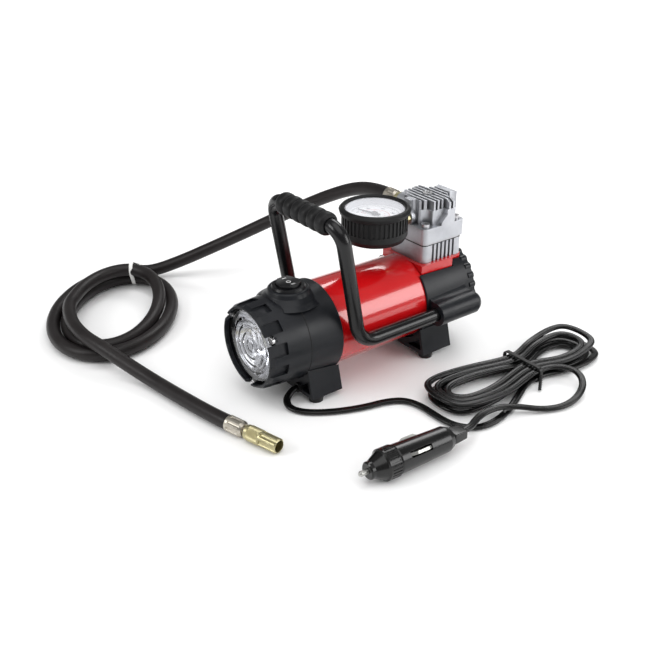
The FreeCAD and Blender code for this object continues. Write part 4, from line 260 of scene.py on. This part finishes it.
# The finish of each slot: its name, its dark and light colours, and its numbers
FINISHES = {
    "housing_plastic": moulded(
        "satin_black_moulding", (0.005, 0.006, 0.008), (0.009, 0.01, 0.013),
        gloss=0.36, grain=1500.0),
    "switch_black": moulded(
        "glossy_switch_black", (0.004, 0.004, 0.005), (0.007, 0.007, 0.008),
        gloss=0.32, grain=1800.0, edge=0.0003),
    "plug_black": painted(
        "satin_plug_black", (0.003, 0.003, 0.003), (0.006, 0.006, 0.006),
        gloss=0.24, coat=0.12, orange_peel=0.03, shine=0.4),
    "red_paint": painted(
        "glossy_red_paint", (0.5, 0.003, 0.005), (0.56, 0.005, 0.007),
        gloss=0.2, coat=0.85, orange_peel=0.05),
    "handle_black": painted(
        "gloss_black_tube", (0.003, 0.003, 0.003), (0.005, 0.005, 0.006),
        gloss=0.24, coat=0.1, orange_peel=0.04, shine=0.35),
    "cast_aluminium": cast("blasted_aluminium", (0.44, 0.45, 0.48), (0.58, 0.59, 0.62), gloss=0.42),
    "fitting_brass": turned_metal("pale_brass", (0.5, 0.45, 0.26), (0.62, 0.57, 0.35), gloss=0.4),
    "ferrule_nickel": turned_metal("dull_nickel", (0.5, 0.46, 0.39), (0.64, 0.6, 0.52), gloss=0.34),
    "contact_nickel": turned_metal(
        "bright_nickel", (0.42, 0.42, 0.4), (0.56, 0.56, 0.53), gloss=0.4),
    "screw_chrome": turned_metal("chrome_screw", (0.66, 0.66, 0.67), (0.8, 0.8, 0.8), gloss=0.12),
    "screw_steel": turned_metal("zinc_screw", (0.5, 0.5, 0.51), (0.64, 0.64, 0.65), gloss=0.3),
    "reflector_bright": turned_metal(
        "plated_reflector", (0.72, 0.72, 0.74), (0.82, 0.82, 0.84), gloss=0.12),
    "gear_steel": turned_metal("cut_steel", (0.42, 0.42, 0.44), (0.56, 0.56, 0.58), gloss=0.32),
    "core_steel": turned_metal(
        "core_sheet_steel", (0.36, 0.36, 0.38), (0.5, 0.5, 0.52), gloss=0.38),
    "liner_steel": turned_metal("honed_steel", (0.5, 0.5, 0.5), (0.62, 0.62, 0.62), gloss=0.25),
    "gauge_metal": moulded(
        "white_gauge_case", (0.72, 0.72, 0.75), (0.8, 0.8, 0.82), gloss=0.4, grain=900.0),
    "magnet_ferrite": cast("ferrite", (0.07, 0.07, 0.075), (0.12, 0.12, 0.125), gloss=0.55),
    "copper_wire": turned_metal("enamelled_copper", (0.5, 0.2, 0.08), (0.66, 0.3, 0.13), gloss=0.3),
    "brush_board": moulded(
        "resin_board", (0.12, 0.06, 0.03), (0.18, 0.1, 0.05), gloss=0.5, grain=800.0),
    "carbon": moulded(
        "pressed_carbon", (0.02, 0.02, 0.02), (0.035, 0.035, 0.035), gloss=0.6, grain=900.0),
    "gasket_fibre": moulded(
        "fibre_gasket", (0.05, 0.055, 0.05), (0.09, 0.1, 0.09), gloss=0.7, grain=700.0),
    "black_rubber": rubber(
        "matte_black_rubber", (0.005, 0.005, 0.005), (0.008, 0.008, 0.009), gloss=0.46),
    "hose_rubber": rubber(
        "hose_rubber_black", (0.01, 0.008, 0.008), (0.017, 0.014, 0.014), gloss=0.42),
    "cord_black": painted(
        "cord_vinyl_black", (0.002, 0.002, 0.002), (0.004, 0.004, 0.004),
        gloss=0.26, coat=0.06, orange_peel=0.02, shine=0.28),
    "tie_white": moulded(
        "white_nylon", (0.78, 0.78, 0.76), (0.86, 0.86, 0.84), gloss=0.35, grain=1200.0),
    "tie_black": moulded(
        "black_tie", (0.012, 0.012, 0.012), (0.022, 0.022, 0.022), gloss=0.4, grain=1200.0),
    "led_board": moulded(
        "pale_lamp_board", (0.75, 0.74, 0.66), (0.85, 0.84, 0.78), gloss=0.35, grain=900.0),
    "dial_card": flat_print("white_dial", (0.84, 0.85, 0.86), gloss=0.4),
    "needle_black": flat_print("needle_paint", (0.02, 0.02, 0.02), gloss=0.35),
    "lens_clear": clear("ringed_lens", (0.97, 0.98, 1.0), index=1.36, gloss=0.01),
    "gauge_clear": thin_clear("gauge_glass_clear", (0.95, 0.96, 1.0), gloss=0.03, body=0.25),
}
INK_BLACK = flat_print("dial_ink_black", (0.015, 0.015, 0.016))
INK_RED = flat_print("dial_ink_red", (0.6, 0.02, 0.02))
INK_WHITE = flat_print("switch_mark_white", (0.8, 0.8, 0.8))
SHADOW_BLACK = flat_print("seam_shadow", (0.001, 0.001, 0.001), gloss=0.8)


def dress_nodes():
    """Each CAD node takes the finish of its slot in the record."""
    for entry in frame["record"]["subparts"]:
        node = NODES[entry["node"]]
        finish = FINISHES[entry["material_slot"]]
        for slot in node.material_slots:
            slot.material = finish
        if not node.material_slots:
            node.data.materials.append(finish)


def add_piece(mesh_object, body, slot, material=None):
    """Names the body that a new piece rides on and gives it its finish."""
    mesh_object.data.materials.clear()
    mesh_object.data.materials.append(material or FINISHES[slot])
    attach(mesh_object, body)


# Air hose, in millimetres
HOSE_D = 10.4
HOSE_Z = 6.4
HOSE_END_Z = 5.8
HOSE_START = (-36.4, 61.0, 106.0)
HOSE_TIP = (22.5, -122.2, HOSE_END_Z)
COIL_CENTRE = (-167.0, -108.0)
COIL_TURNED = math.radians(141.0)
COIL_HALF_LENGTH = 78.0
COIL_HALF_WIDTH = 52.0
COIL_STEP_LONG = 13.0     # each turn's half length is this much less than the last one's
COIL_STEP_WIDE = 11.2     # and its half width this much
COIL_TURNS = 2.25
COIL_POINTS = 16          # to a turn
COIL_CLIMB = 1.55         # the turn where the hose starts to climb onto the lower turns
COIL_CLIMBED = 2.0        # the turn where it has climbed
COIL_HELD = 0.95          # share of the way inwards that it gives up after the climb starts
COIL_LAYER = 10.9
COIL_TOP_Z = HOSE_Z + COIL_LAYER


def coil_point(turn):
    """A point of the hose's coil, from the tie at turn 0 inwards and then up."""
    phi = 2 * math.pi * turn
    climbed = min(1.0, max(0.0, (turn - COIL_CLIMB) / (COIL_CLIMBED - COIL_CLIMB)))
    inwards = turn - COIL_HELD * climbed * (turn - COIL_CLIMB)
    along = (COIL_HALF_LENGTH - COIL_STEP_LONG * inwards) * math.cos(phi)
    aside = (COIL_HALF_WIDTH - COIL_STEP_WIDE * inwards) * math.sin(phi)
    height = HOSE_Z + COIL_LAYER * climbed * climbed * (3 - 2 * climbed)
    x = COIL_CENTRE[0] + along * math.cos(COIL_TURNED) - aside * math.sin(COIL_TURNED)
    y = COIL_CENTRE[1] + along * math.sin(COIL_TURNED) + aside * math.cos(COIL_TURNED)
    return (x, y, height)


HOSE_FROM_HEAD = [
    HOSE_START, (-50.4, HOSE_START[1], HOSE_START[2]), (-74, HOSE_START[1] - 1.0, 100.5),
    (-100, 54.5, 88), (-126, 45.5, 72.5), (-150, 32, 56.5), (-172, 14, 40.5), (-191, -8, 26),
    (-206, -29, 14.5), (-218.8, -48.0, HOSE_Z)]
HOSE_COIL = [coil_point(n / COIL_POINTS) for n in range(int(COIL_TURNS * COIL_POINTS) + 1)]
HOSE_TO_CHUCK = [
    (-177.6, -143.4, COIL_TOP_Z), (-152, -153, COIL_TOP_Z + 0.4), (-124, -155.5, COIL_TOP_Z + 0.4),
    (-101, -150.5, 16.2), (-82, -144, 10.8), (-56, -136.5, HOSE_END_Z + 0.2),
    (-24, -131.5, HOSE_END_Z), (8.9, -125.7, HOSE_END_Z), HOSE_TIP]


def route_curve(name, points):
    """One smooth open spline through a route's points, given in millimetres."""
    curve = bpy.data.curves.new(name, "CURVE")
    curve.dimensions = "3D"
    curve.resolution_u = 8
    spline = curve.splines.new("NURBS")
    spline.points.add(len(points) - 1)
    for control, (x, y, z) in zip(spline.points, points):
        control.co = (x * MM, y * MM, z * MM, 1.0)
    spline.order_u = 3
    spline.use_endpoint_u = True
    return in_scene(name, curve)


def route_line(piece):
    """The points along a curve, as Blender draws it without a bevel."""
    line = bpy.data.meshes.new_from_object(piece)
    points = [v.co.copy() for v in line.vertices]
    bpy.data.meshes.remove(line)
    return points


def line_length(points):
    """The length of a line through these points."""
    return sum((b - a).length for a, b in zip(points, points[1:]))


def make_round(piece, radius, resolution):
    """Gives a curve a round section with closed ends; radius in millimetres."""
    piece.data.bevel_depth = radius * MM
    piece.data.bevel_resolution = resolution
    piece.data.use_fill_caps = True


def air_hose():
    """The hose from the head's ferrule through the coil to the chuck's ferrule."""
    hose = route_curve("air_hose", HOSE_FROM_HEAD + HOSE_COIL + HOSE_TO_CHUCK)
    length = line_length(route_line(hose))
    make_round(hose, HOSE_D / 2, 7)
    add_piece(hose, "base", "hose_rubber")
    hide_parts("air_hose_lead", "air_hose_coil", "air_hose_tail")


# Power cord and the plug's place, in millimetres
CORD_WIDTH = 5.2
CORD_THICK = 2.9
CORD_Z = 2.2
GLAND = (17.0, -61.0, 8.4)
HANK_X = 88.0
HANK_Y = 86.0
HANK_Z = 3.4
HANK_NEAR = 84.0          # from the waist to each end
HANK_FAR = 66.0
HANK_WAIST = 14.5         # half widths
HANK_LOBE = 22.5
HANK_LOBE_AT = 28.0       # from an end to its widest place
HANK_STEP = 5.3           # each turn lies this much further in than the one before
HANK_TURNS = 2.5          # in each of the two layers
HANK_LAYER = 4.9
HANK_LIFT = 3.2           # the upper turns stand off the lower ones at the far end, more each turn
HANK_NEAR_LIFT = 1.3
HANK_END_FROM = 0.6       # share of the way to an end where the turns start to differ in length
HANK_LIFT_RATE = 1.6      # how soon the lift is full on the rest of the way
HANK_TOP_Z = HANK_Z + HANK_LAYER
PLUG_TIP = Vector((122.6, -93.8, 10.4))
PLUG_TURNED = math.radians(3)
PLUG_HEADING = Vector((math.sin(PLUG_TURNED), math.cos(PLUG_TURNED), 0.0))
PLUG_LENGTH = 71.0
RELIEF_LENGTH = 11.0


def hank_points():
    """The hank's turns: inwards on the lower layer, up one layer at the waist, and outwards."""
    far_y = HANK_FAR - HANK_LOBE_AT
    near_y = HANK_LOBE_AT - HANK_NEAR
    outline = (
        (HANK_WAIST, 0), (HANK_WAIST, far_y * 0.2),
        (HANK_LOBE, far_y * 0.75), (HANK_LOBE, far_y * 1.35),
        (HANK_LOBE * 0.75, HANK_FAR), (-HANK_LOBE * 0.75, HANK_FAR),
        (-HANK_LOBE, far_y * 1.35), (-HANK_LOBE, far_y * 0.75),
        (-HANK_WAIST, far_y * 0.2), (-HANK_WAIST, 0), (-HANK_WAIST, near_y * 0.15),
        (-HANK_LOBE, near_y * 0.7), (-HANK_LOBE, near_y * 1.25),
        (-HANK_LOBE * 0.7, -HANK_NEAR), (HANK_LOBE * 0.7, -HANK_NEAR),
        (HANK_LOBE, near_y * 1.25), (HANK_LOBE, near_y * 0.7), (HANK_WAIST, near_y * 0.15))
    count = int(2 * HANK_TURNS * len(outline))
    half = count // 2
    points = []
    for n in range(count + 1):
        x, y = outline[n % len(outline)]
        inwards = (n if n <= half else count - n) * HANK_STEP / len(outline)
        reach = HANK_FAR if y > 0 else HANK_NEAR
        towards_end = max(0.0, (abs(y) / reach - HANK_END_FROM) / (1 - HANK_END_FROM))
        height = HANK_Z
        if n > half:
            turn = (n - half) / len(outline)
            lift = HANK_LIFT if y > 0 else HANK_NEAR_LIFT
            height += HANK_LAYER + lift * turn * min(1.0, HANK_LIFT_RATE * towards_end)
        points.append((HANK_X + x - math.copysign(inwards, x),
                       HANK_Y + y - math.copysign(inwards * towards_end, y), height))
    return points


def plug_place(distance):
    """A point on the plug's axis, this far from its tip."""
    return tuple(PLUG_TIP + PLUG_HEADING * distance)


CORD_FROM_FOOT = [
    GLAND, (17.0, -65.5, 8.4), (17.6, -70.5, 5.9), (20.5, -75.0, 3.6), (28, -77.0, CORD_Z),
    (37.5, -72.0, CORD_Z), (45, -62.5, CORD_Z), (52, -49.5, CORD_Z), (57.5, -34, CORD_Z),
    (60.5, -19, CORD_Z), (67, -8, CORD_Z), (79, -4, CORD_Z), (94, -4.5, CORD_Z),
    (109, -3.3, CORD_Z), (120, 4.5, CORD_Z), (123.5, 17, CORD_Z), (121.5, 31, CORD_Z),
    (117, 44, CORD_Z), (110.5, 58, CORD_Z), (104.6, 70, HANK_Z - 0.3), (102.5, 79, HANK_Z)]
CORD_TO_PLUG = [
    (102.5, 93, HANK_TOP_Z), (104.6, 100, HANK_TOP_Z), (111, 107, HANK_TOP_Z),
    (122, 108, HANK_TOP_Z - 0.4), (132.5, 100, 6.0), (138, 86, 3.0), (138.5, 71, CORD_Z + 0.3),
    (132.5, 57, 2.9), (124, 44, 5.8), (118, 31, 7.7), (116.8, 18, 7.8), (120.5, 6, 8.8),
    plug_place(PLUG_LENGTH + RELIEF_LENGTH + 6), plug_place(PLUG_LENGTH + 2)]


def twin_profile(steps=8):
    """The flat cord's section: two round leads side by side that share a web."""
    radius = CORD_THICK / 2
    aside = CORD_WIDTH / 2 - radius
    reach = math.pi - math.acos(aside / radius)
    outline = []
    for middle, start in ((aside, 0.0), (-aside, math.pi)):
        for n in range(steps):
            a = start + reach * (2 * n / steps - 1)
            outline.append(((middle + radius * math.cos(a)) * MM, radius * math.sin(a) * MM))
    return outline


def swept(name, line, profile):
    """A profile swept along a line, with its first axis always level."""
    net = bmesh.new()
    rows = []
    for n, point in enumerate(line):
        ahead = line[min(n + 1, len(line) - 1)] - line[max(n - 1, 0)]
        aside = ahead.normalized().cross(Vector((0, 0, 1))).normalized()
        up = aside.cross(ahead).normalized()
        rows.append([net.verts.new(point + aside * x + up * y) for x, y in profile])
    for row, following in zip(rows, rows[1:]):
        for k in range(len(profile)):
            j = (k + 1) % len(profile)
            net.faces.new((row[k], row[j], following[j], following[k]))
    net.faces.new(rows[0][::-1])
    net.faces.new(rows[-1])
    bmesh.ops.recalc_face_normals(net, faces=net.faces)
    return in_scene(name, net_mesh(name, net, smooth=True))


def power_cord():
    """The twin cord from the foot through the hank to the plug, its flat side to the floor."""
    guide = route_curve("power_cord_route", CORD_FROM_FOOT + hank_points() + CORD_TO_PLUG)
    line = route_line(guide)
    bpy.data.objects.remove(guide)
    cord = swept("power_cord", line, twin_profile())
    add_piece(cord, "base", "cord_black")
    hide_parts("power_cord_lead", "power_cord_hank", "power_cord_tail")


# Printing on the dial and the switch, in millimetres
SCALE_ZERO = 210.0        # directions from +X, in degrees
SCALE_END = -30.0
PRINT_ABOVE = 0.05        # of the dial's card
LONG_EVERY = 5
LONG_WIDTH = 0.28
SHORT_WIDTH = 0.14
ARC_WIDTH = 0.3
ARC_STEPS = 60
TEXT_HALF_THICK = 0.03
MARK_ASIDE = 5.2
MARK_SIZE = 4.6
MARK_LEAN = 0.2           # in radians, the slope of the dished top there
OUTER_MARK_Z = ROCKER_TOP + 0.78
MIDDLE_MARK_Z = ROCKER_TOP + 0.22


def text_mesh(name, words, size, place, lean=0.0):
    """Raised lettering a hair thick, made a mesh at its place."""
    letters = bpy.data.curves.new(name, "FONT")
    letters.body = words
    letters.size = size * MM
    letters.align_x = "CENTER"
    letters.align_y = "CENTER"
    letters.extrude = TEXT_HALF_THICK * MM
    letters.resolution_u = 3
    draft = in_scene(name + "_draft", letters)
    mesh = bpy.data.meshes.new_from_object(draft)
    bpy.data.objects.remove(draft)
    mesh.transform(Matrix.Translation(mm(*place)) @ Matrix.Rotation(lean, 4, "Y"))
    return in_scene(name, mesh)


def scale_place(share, radius):
    """A place on the dial, at a share of the scale's sweep."""
    angle = math.radians(SCALE_ZERO + (SCALE_END - SCALE_ZERO) * share)
    return Vector((radius * math.cos(angle), GAUGE_Y + radius * math.sin(angle),
                   DIAL_TOP + PRINT_ABOVE))


def dial_scale(name, count, r_in, r_out, ink):
    """One scale's marks, from r_in or halfway to it out to r_out, and its arc outside them."""
    net = bmesh.new()
    for n in range(count + 1):
        long_mark = n % LONG_EVERY == 0
        inner = r_in if long_mark else r_in + (r_out - r_in) * 0.5
        width = LONG_WIDTH if long_mark else SHORT_WIDTH
        start = scale_place(n / count, inner)
        end = scale_place(n / count, r_out)
        aside = (end - start).normalized().cross(Vector((0, 0, 1))) * width / 2
        corners = [start + aside, start - aside, end - aside, end + aside]
        net.faces.new([net.verts.new(c * MM) for c in corners])
    for n in range(ARC_STEPS):
        share, following = n / ARC_STEPS, (n + 1) / ARC_STEPS
        corners = [scale_place(share, r_out), scale_place(following, r_out),
                   scale_place(following, r_out + ARC_WIDTH), scale_place(share, r_out + ARC_WIDTH)]
        net.faces.new([net.verts.new(c * MM) for c in corners])
    bmesh.ops.remove_doubles(net, verts=net.verts, dist=0.000001)
    bmesh.ops.recalc_face_normals(net, faces=net.faces)
    add_piece(in_scene(name, net_mesh(name, net)), "base", "dial_card", ink)


def dial_marks():
    """The outer black scale from 0 to 150, and the inner red one from 0 to 7."""
    dial_scale("dial_scale_outer", 50, 15.6, 17.4, INK_BLACK)
    dial_scale("dial_scale_inner", 35, 8.6, 10.0, INK_RED)
    for prefix, numbers, size, radius, ink in (
            ("dial_number_", range(0, 151, 30), 3.0, 13.0, INK_BLACK),
            ("dial_bar_number_", range(8), 1.9, 7.2, INK_RED)):
        for n, shown in enumerate(numbers):
            place = scale_place(n / (len(numbers) - 1), radius)
            add_piece(text_mesh(f"{prefix}{n}", str(shown), size, place), "base", "dial_card", ink)


def switch_marks():
    """I, O and II on the rocker, each lying on its dished top."""
    for name, words, x, z, lean in (
            ("mark_one", "I", -MARK_ASIDE, OUTER_MARK_Z, MARK_LEAN),
            ("mark_off", "O", 0.0, MIDDLE_MARK_Z, 0.0),
            ("mark_two", "II", MARK_ASIDE, OUTER_MARK_Z, -MARK_LEAN)):
        mark = text_mesh(name, words, MARK_SIZE, (x, SWITCH_Y, z), lean)
        add_piece(mark, "rocker", "switch_black", INK_WHITE)


# Small pieces that the drawing leaves out or keeps plainer, in millimetres
SEAM_Y = -60.7
SEAM_R = 31.65
SEAM_HALF_THICK = 0.28


def seam_line():
    """The dark joint between the lamp and the front housing."""
    bpy.ops.object.select_all(action="DESELECT")
    bpy.ops.mesh.primitive_torus_add(major_radius=SEAM_R * MM, minor_radius=SEAM_HALF_THICK * MM,
                                     major_segments=96, minor_segments=8)
    ring = bpy.context.object
    ring.name = "lamp_seam"
    upright = Matrix.Rotation(math.radians(90), 4, "X")
    ring.data.transform(Matrix.Translation(mm(0, SEAM_Y, AXIS_Z)) @ upright)
    add_piece(ring, "base", "housing_plastic", SHADOW_BLACK)


def lathe(name, profile, place, heading, sides=72, wave=0.0):
    """A closed profile of radii and distances turned about a heading.

    Alternate corners are raised by wave, which makes the faces flat.
    """
    net = bmesh.new()
    aside = heading.orthogonal().normalized()
    up = heading.cross(aside)
    rings = []
    for radius, distance in profile:
        ring = []
        for n in range(sides):
            a = 2 * math.pi * n / sides
            reach = radius + (wave if n % 2 else 0.0)
            outwards = (aside * math.cos(a) + up * math.sin(a)) * reach
            ring.append(net.verts.new((place + heading * distance + outwards) * MM))
        rings.append(ring)
    for ring, following in zip(rings, rings[1:] + rings[:1]):
        for n in range(sides):
            m = (n + 1) % sides
            net.faces.new((ring[n], ring[m], following[m], following[n]))
    bmesh.ops.recalc_face_normals(net, faces=net.faces)
    return in_scene(name, net_mesh(name, net, smooth=not wave))


GRIP_RIBS = 6
GRIP_GROOVE_R = 6.1
GRIP_RIB_RISE = 1.8
GRIP_GROOVE = 0.9
GRIP_INNER_R = 5.05
RIB_STEPS = (0.0, 0.04, 0.12, 0.25, 0.4, 0.6, 0.75, 0.88, 0.96, 1.0)


def rib_rise(share):
    """How far a rib stands out at a share of its width: a full, blunt round."""
    return GRIP_RIB_RISE * (1 - abs(2 * share - 1) ** 3.5) ** 0.6


def grip_sleeve():
    """The rubber grip, with full round ribs and deep grooves."""
    low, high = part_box("handle_grip")
    middle = (low + high) / 2 / MM
    half = (high.x - low.x) / 2 / MM
    pitch = (2 * half - GRIP_GROOVE) / GRIP_RIBS
    profile = [(GRIP_INNER_R, -half), (GRIP_GROOVE_R, -half)]
    for n in range(GRIP_RIBS):
        start = -half + GRIP_GROOVE + n * pitch
        profile += [(GRIP_GROOVE_R + rib_rise(share), start + share * (pitch - GRIP_GROOVE))
                    for share in RIB_STEPS]
    profile += [(GRIP_GROOVE_R, half), (GRIP_INNER_R, half)]
    sleeve = lathe("grip_sleeve", profile, middle, Vector((1.0, 0.0, 0.0)))
    add_piece(sleeve, "base", "black_rubber")
    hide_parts("handle_grip")


CHUCK_TURNED = math.radians(14.5)
CHUCK_HEADING = Vector((math.cos(CHUCK_TURNED), math.sin(CHUCK_TURNED), 0.0))
CHUCK_START = 16.0        # from the hose's end
KNURL_R = 5.1
KNURL_FROM = 2.4          # from the chuck's start
KNURL_TO = 13.0
KNURL_RIDGE = 0.28
KNURL_BEVEL = (0.3, 0.6)  # inwards and along


def chuck_knurl():
    """The fine straight knurl round the chuck's rear half."""
    inwards, along = KNURL_BEVEL
    profile = [(KNURL_R - inwards, KNURL_FROM), (KNURL_R, KNURL_FROM + along),
               (KNURL_R, KNURL_TO - along), (KNURL_R - inwards, KNURL_TO)]
    place = Vector(HOSE_TIP) + CHUCK_HEADING * CHUCK_START
    knurl = lathe("chuck_knurl", profile, place, CHUCK_HEADING, sides=96, wave=KNURL_RIDGE)
    add_piece(knurl, "chuck", "fitting_brass")


CONTACT_SHARE = 0.52      # width of the strip that shows, as a share of the CAD blade's


def contact_strips():
    """The plug's side contacts as narrow strips, each in the middle of its slot."""
    tip = PLUG_TIP * MM
    strips = []
    for side in ("left", "right"):
        low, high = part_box("plug_contact_" + side)
        out = (low + high) / 2 - tip
        across = PLUG_HEADING.cross(out).normalized()
        mesh = NODES["plug_contact_" + side].data.copy()
        for corner in mesh.vertices:
            corner.co -= across * (corner.co - tip).dot(across) * (1 - CONTACT_SHARE)
        strip = in_scene("contact_strip_" + side, mesh)
        add_piece(strip, "contact_" + side, "contact_nickel")
        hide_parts("plug_contact_" + side)
        strips.append(strip)
    return strips


TWIST_START = Vector((106.6, 85.0, 7.0))
TWIST_END = Vector((113.5, 76.5, 1.6))
TWIST_TURNS = 4
TWIST_STEPS = 8           # to a turn
TWIST_R = 0.7
TWIST_WIRE_R = 0.6


def twisted_ends():
    """The two ends of the hank's wire tie, twisted together."""
    run = TWIST_END - TWIST_START
    heading = run.normalized()
    aside = heading.orthogonal().normalized()
    up = heading.cross(aside)
    steps = TWIST_TURNS * TWIST_STEPS
    for strand in range(2):
        points = []
        for n in range(steps + 1):
            a = 2 * math.pi * TWIST_TURNS * n / steps + math.pi * strand
            outwards = (aside * math.cos(a) + up * math.sin(a)) * TWIST_R
            points.append(tuple(TWIST_START + run * (n / steps) + outwards))
        wire = route_curve(f"tie_end_{strand}", points)
        make_round(wire, TWIST_WIRE_R, 3)
        add_piece(wire, "base", "tie_black")


RELIEF_HALF_X = 5.4
RELIEF_HALF_Z = 3.6
RELIEF_TAPER = 0.86       # size at the cord's end, as a share of that at the plug
RELIEF_EDGE = 1.1


def plug_relief():
    """The plug's smooth square relief, a little narrower towards the cord."""
    net = bmesh.new()
    bmesh.ops.create_cube(net, size=2.0)
    for corner in net.verts:
        taper = RELIEF_TAPER if corner.co.y > 0 else 1.0
        corner.co = Vector((corner.co.x * RELIEF_HALF_X * taper,
                            (corner.co.y + 1) / 2 * RELIEF_LENGTH,
                            corner.co.z * RELIEF_HALF_Z * taper)) * MM
    bmesh.ops.bevel(net, geom=net.edges[:], offset=RELIEF_EDGE * MM, segments=4, profile=0.6,
                    affect="EDGES")
    mesh = net_mesh("plug_relief_block", net, smooth=True)
    start = mm(*plug_place(PLUG_LENGTH))
    mesh.transform(Matrix.Translation(start) @ Matrix.Rotation(-PLUG_TURNED, 4, "Z"))
    block = in_scene("plug_relief_block", mesh)
    add_piece(block, "base", "plug_black")
    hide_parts("plug_relief")
    return block


# Floor, light and camera, in metres
WHITE = (1.0, 1.0, 1.0, 1.0)
FLOOR_GREY = (0.92, 0.92, 0.92, 1.0)
FLOOR_SIZE = 8.0
GLOW_FROM = 0.3           # from the middle of the floor
GLOW_FULL = 1.2
SOFT_LIGHT = 0.55
RAY_LIGHTS = (("Is Glossy Ray", 0.22), ("Is Transmission Ray", 0.45), ("Is Camera Ray", 1.0))
CAMERA_PLACE = Vector((0.4812, -0.3913, 0.3567))
CAMERA_TARGET = Vector((0.0, -0.02605, 0.038))
CAMERA_LENS = 53.4        # in millimetres, on a sensor 36 wide


def floor_and_backdrop():
    """A pale floor that takes the object's shadow and grows white away from it."""
    material, nodes, links, shader, place = new_material("pale_floor")
    shader.inputs["Roughness"].default_value = 0.7
    shader.inputs["Specular IOR Level"].default_value = 0.2
    shader.inputs["Base Color"].default_value = FLOOR_GREY
    length = nodes.new("ShaderNodeVectorMath")
    length.operation = "LENGTH"
    links.new(place.outputs["Object"], length.inputs[0])
    far = spread(nodes, links, length.outputs["Value"], 0.0, 1.0, GLOW_FROM, GLOW_FULL)
    rays = nodes.new("ShaderNodeLightPath")
    lift = nodes.new("ShaderNodeMath")
    lift.operation = "MULTIPLY"
    links.new(far, lift.inputs[0])
    links.new(rays.outputs["Is Camera Ray"], lift.inputs[1])
    shader.inputs["Emission Color"].default_value = WHITE
    links.new(lift.outputs["Value"], shader.inputs["Emission Strength"])
    bpy.ops.object.select_all(action="DESELECT")
    bpy.ops.mesh.primitive_plane_add(size=FLOOR_SIZE, location=(0, 0, 0))
    floor = bpy.context.object
    floor.name = "floor"
    floor.data.materials.append(material)


def world_light():
    """White behind the object, soft light on it, and a dimmer room in its reflections."""
    world = bpy.data.worlds.new("studio")
    bpy.context.scene.world = world
    world.use_nodes = True
    nodes = world.node_tree.nodes
    links = world.node_tree.links
    soft = nodes["Background"]
    soft.inputs["Color"].default_value = WHITE
    soft.inputs["Strength"].default_value = SOFT_LIGHT
    rays = nodes.new("ShaderNodeLightPath")
    shader = soft.outputs[0]
    for ray, strength in RAY_LIGHTS:
        other = nodes.new("ShaderNodeBackground")
        other.inputs["Color"].default_value = WHITE
        other.inputs["Strength"].default_value = strength
        mix = nodes.new("ShaderNodeMixShader")
        links.new(rays.outputs[ray], mix.inputs[0])
        links.new(shader, mix.inputs[1])
        links.new(other.outputs[0], mix.inputs[2])
        shader = mix.outputs[0]
    links.new(shader, nodes["World Output"].inputs["Surface"])


def aim(holder, direction):
    """Turns a light or camera to look along a direction."""
    holder.rotation_euler = direction.to_track_quat("-Z", "Y").to_euler()


def sun_light(name, direction, power, softness):
    """A far light; softness is its width in degrees."""
    lamp = bpy.data.lights.new(name, "SUN")
    lamp.energy = power
    lamp.angle = math.radians(softness)
    aim(in_scene(name, lamp), Vector(direction))


def area_light(name, place, target, size, power):
    """A rectangular soft box that faces its target."""
    lamp = bpy.data.lights.new(name, "AREA")
    lamp.shape = "RECTANGLE"
    lamp.size, lamp.size_y = size
    lamp.energy = power
    holder = in_scene(name, lamp)
    holder.location = place
    aim(holder, Vector(target) - Vector(place))


def studio_camera():
    """The camera at the photograph's place: 28 degrees up, from the lamp's right."""
    camera = bpy.data.cameras.new("camera")
    camera.sensor_width = 36.0
    camera.lens = CAMERA_LENS
    camera.clip_start = 0.01
    holder = in_scene("camera", camera)
    holder.location = CAMERA_PLACE
    aim(holder, CAMERA_TARGET - CAMERA_PLACE)
    bpy.context.scene.camera = holder


dress_nodes()
relief_block = plug_relief()
plug_contacts = contact_strips()
air_hose()
power_cord()
seam_line()
grip_sleeve()
chuck_knurl()
twisted_ends()
dial_marks()
switch_marks()
floor_and_backdrop()
world_light()
sun_light("ceiling_light", (-0.25, 0.1, -1.0), power=1.25, softness=60.0)
area_light("side_softbox", (1.0, 0.75, 0.5), (0.0, 0.0, 0.06), size=(0.9, 0.62), power=8.5)
area_light("front_softbox", (-0.35, -1.1, 0.75), (0.0, -0.05, 0.05), size=(0.5, 0.5), power=5.0)
area_light("back_softbox", (-0.5, 0.9, 1.0), (0.0, 0.05, 0.08), size=(0.7, 0.4), power=5.0)
studio_camera()
bpy.context.scene.view_settings.view_transform = "Standard"
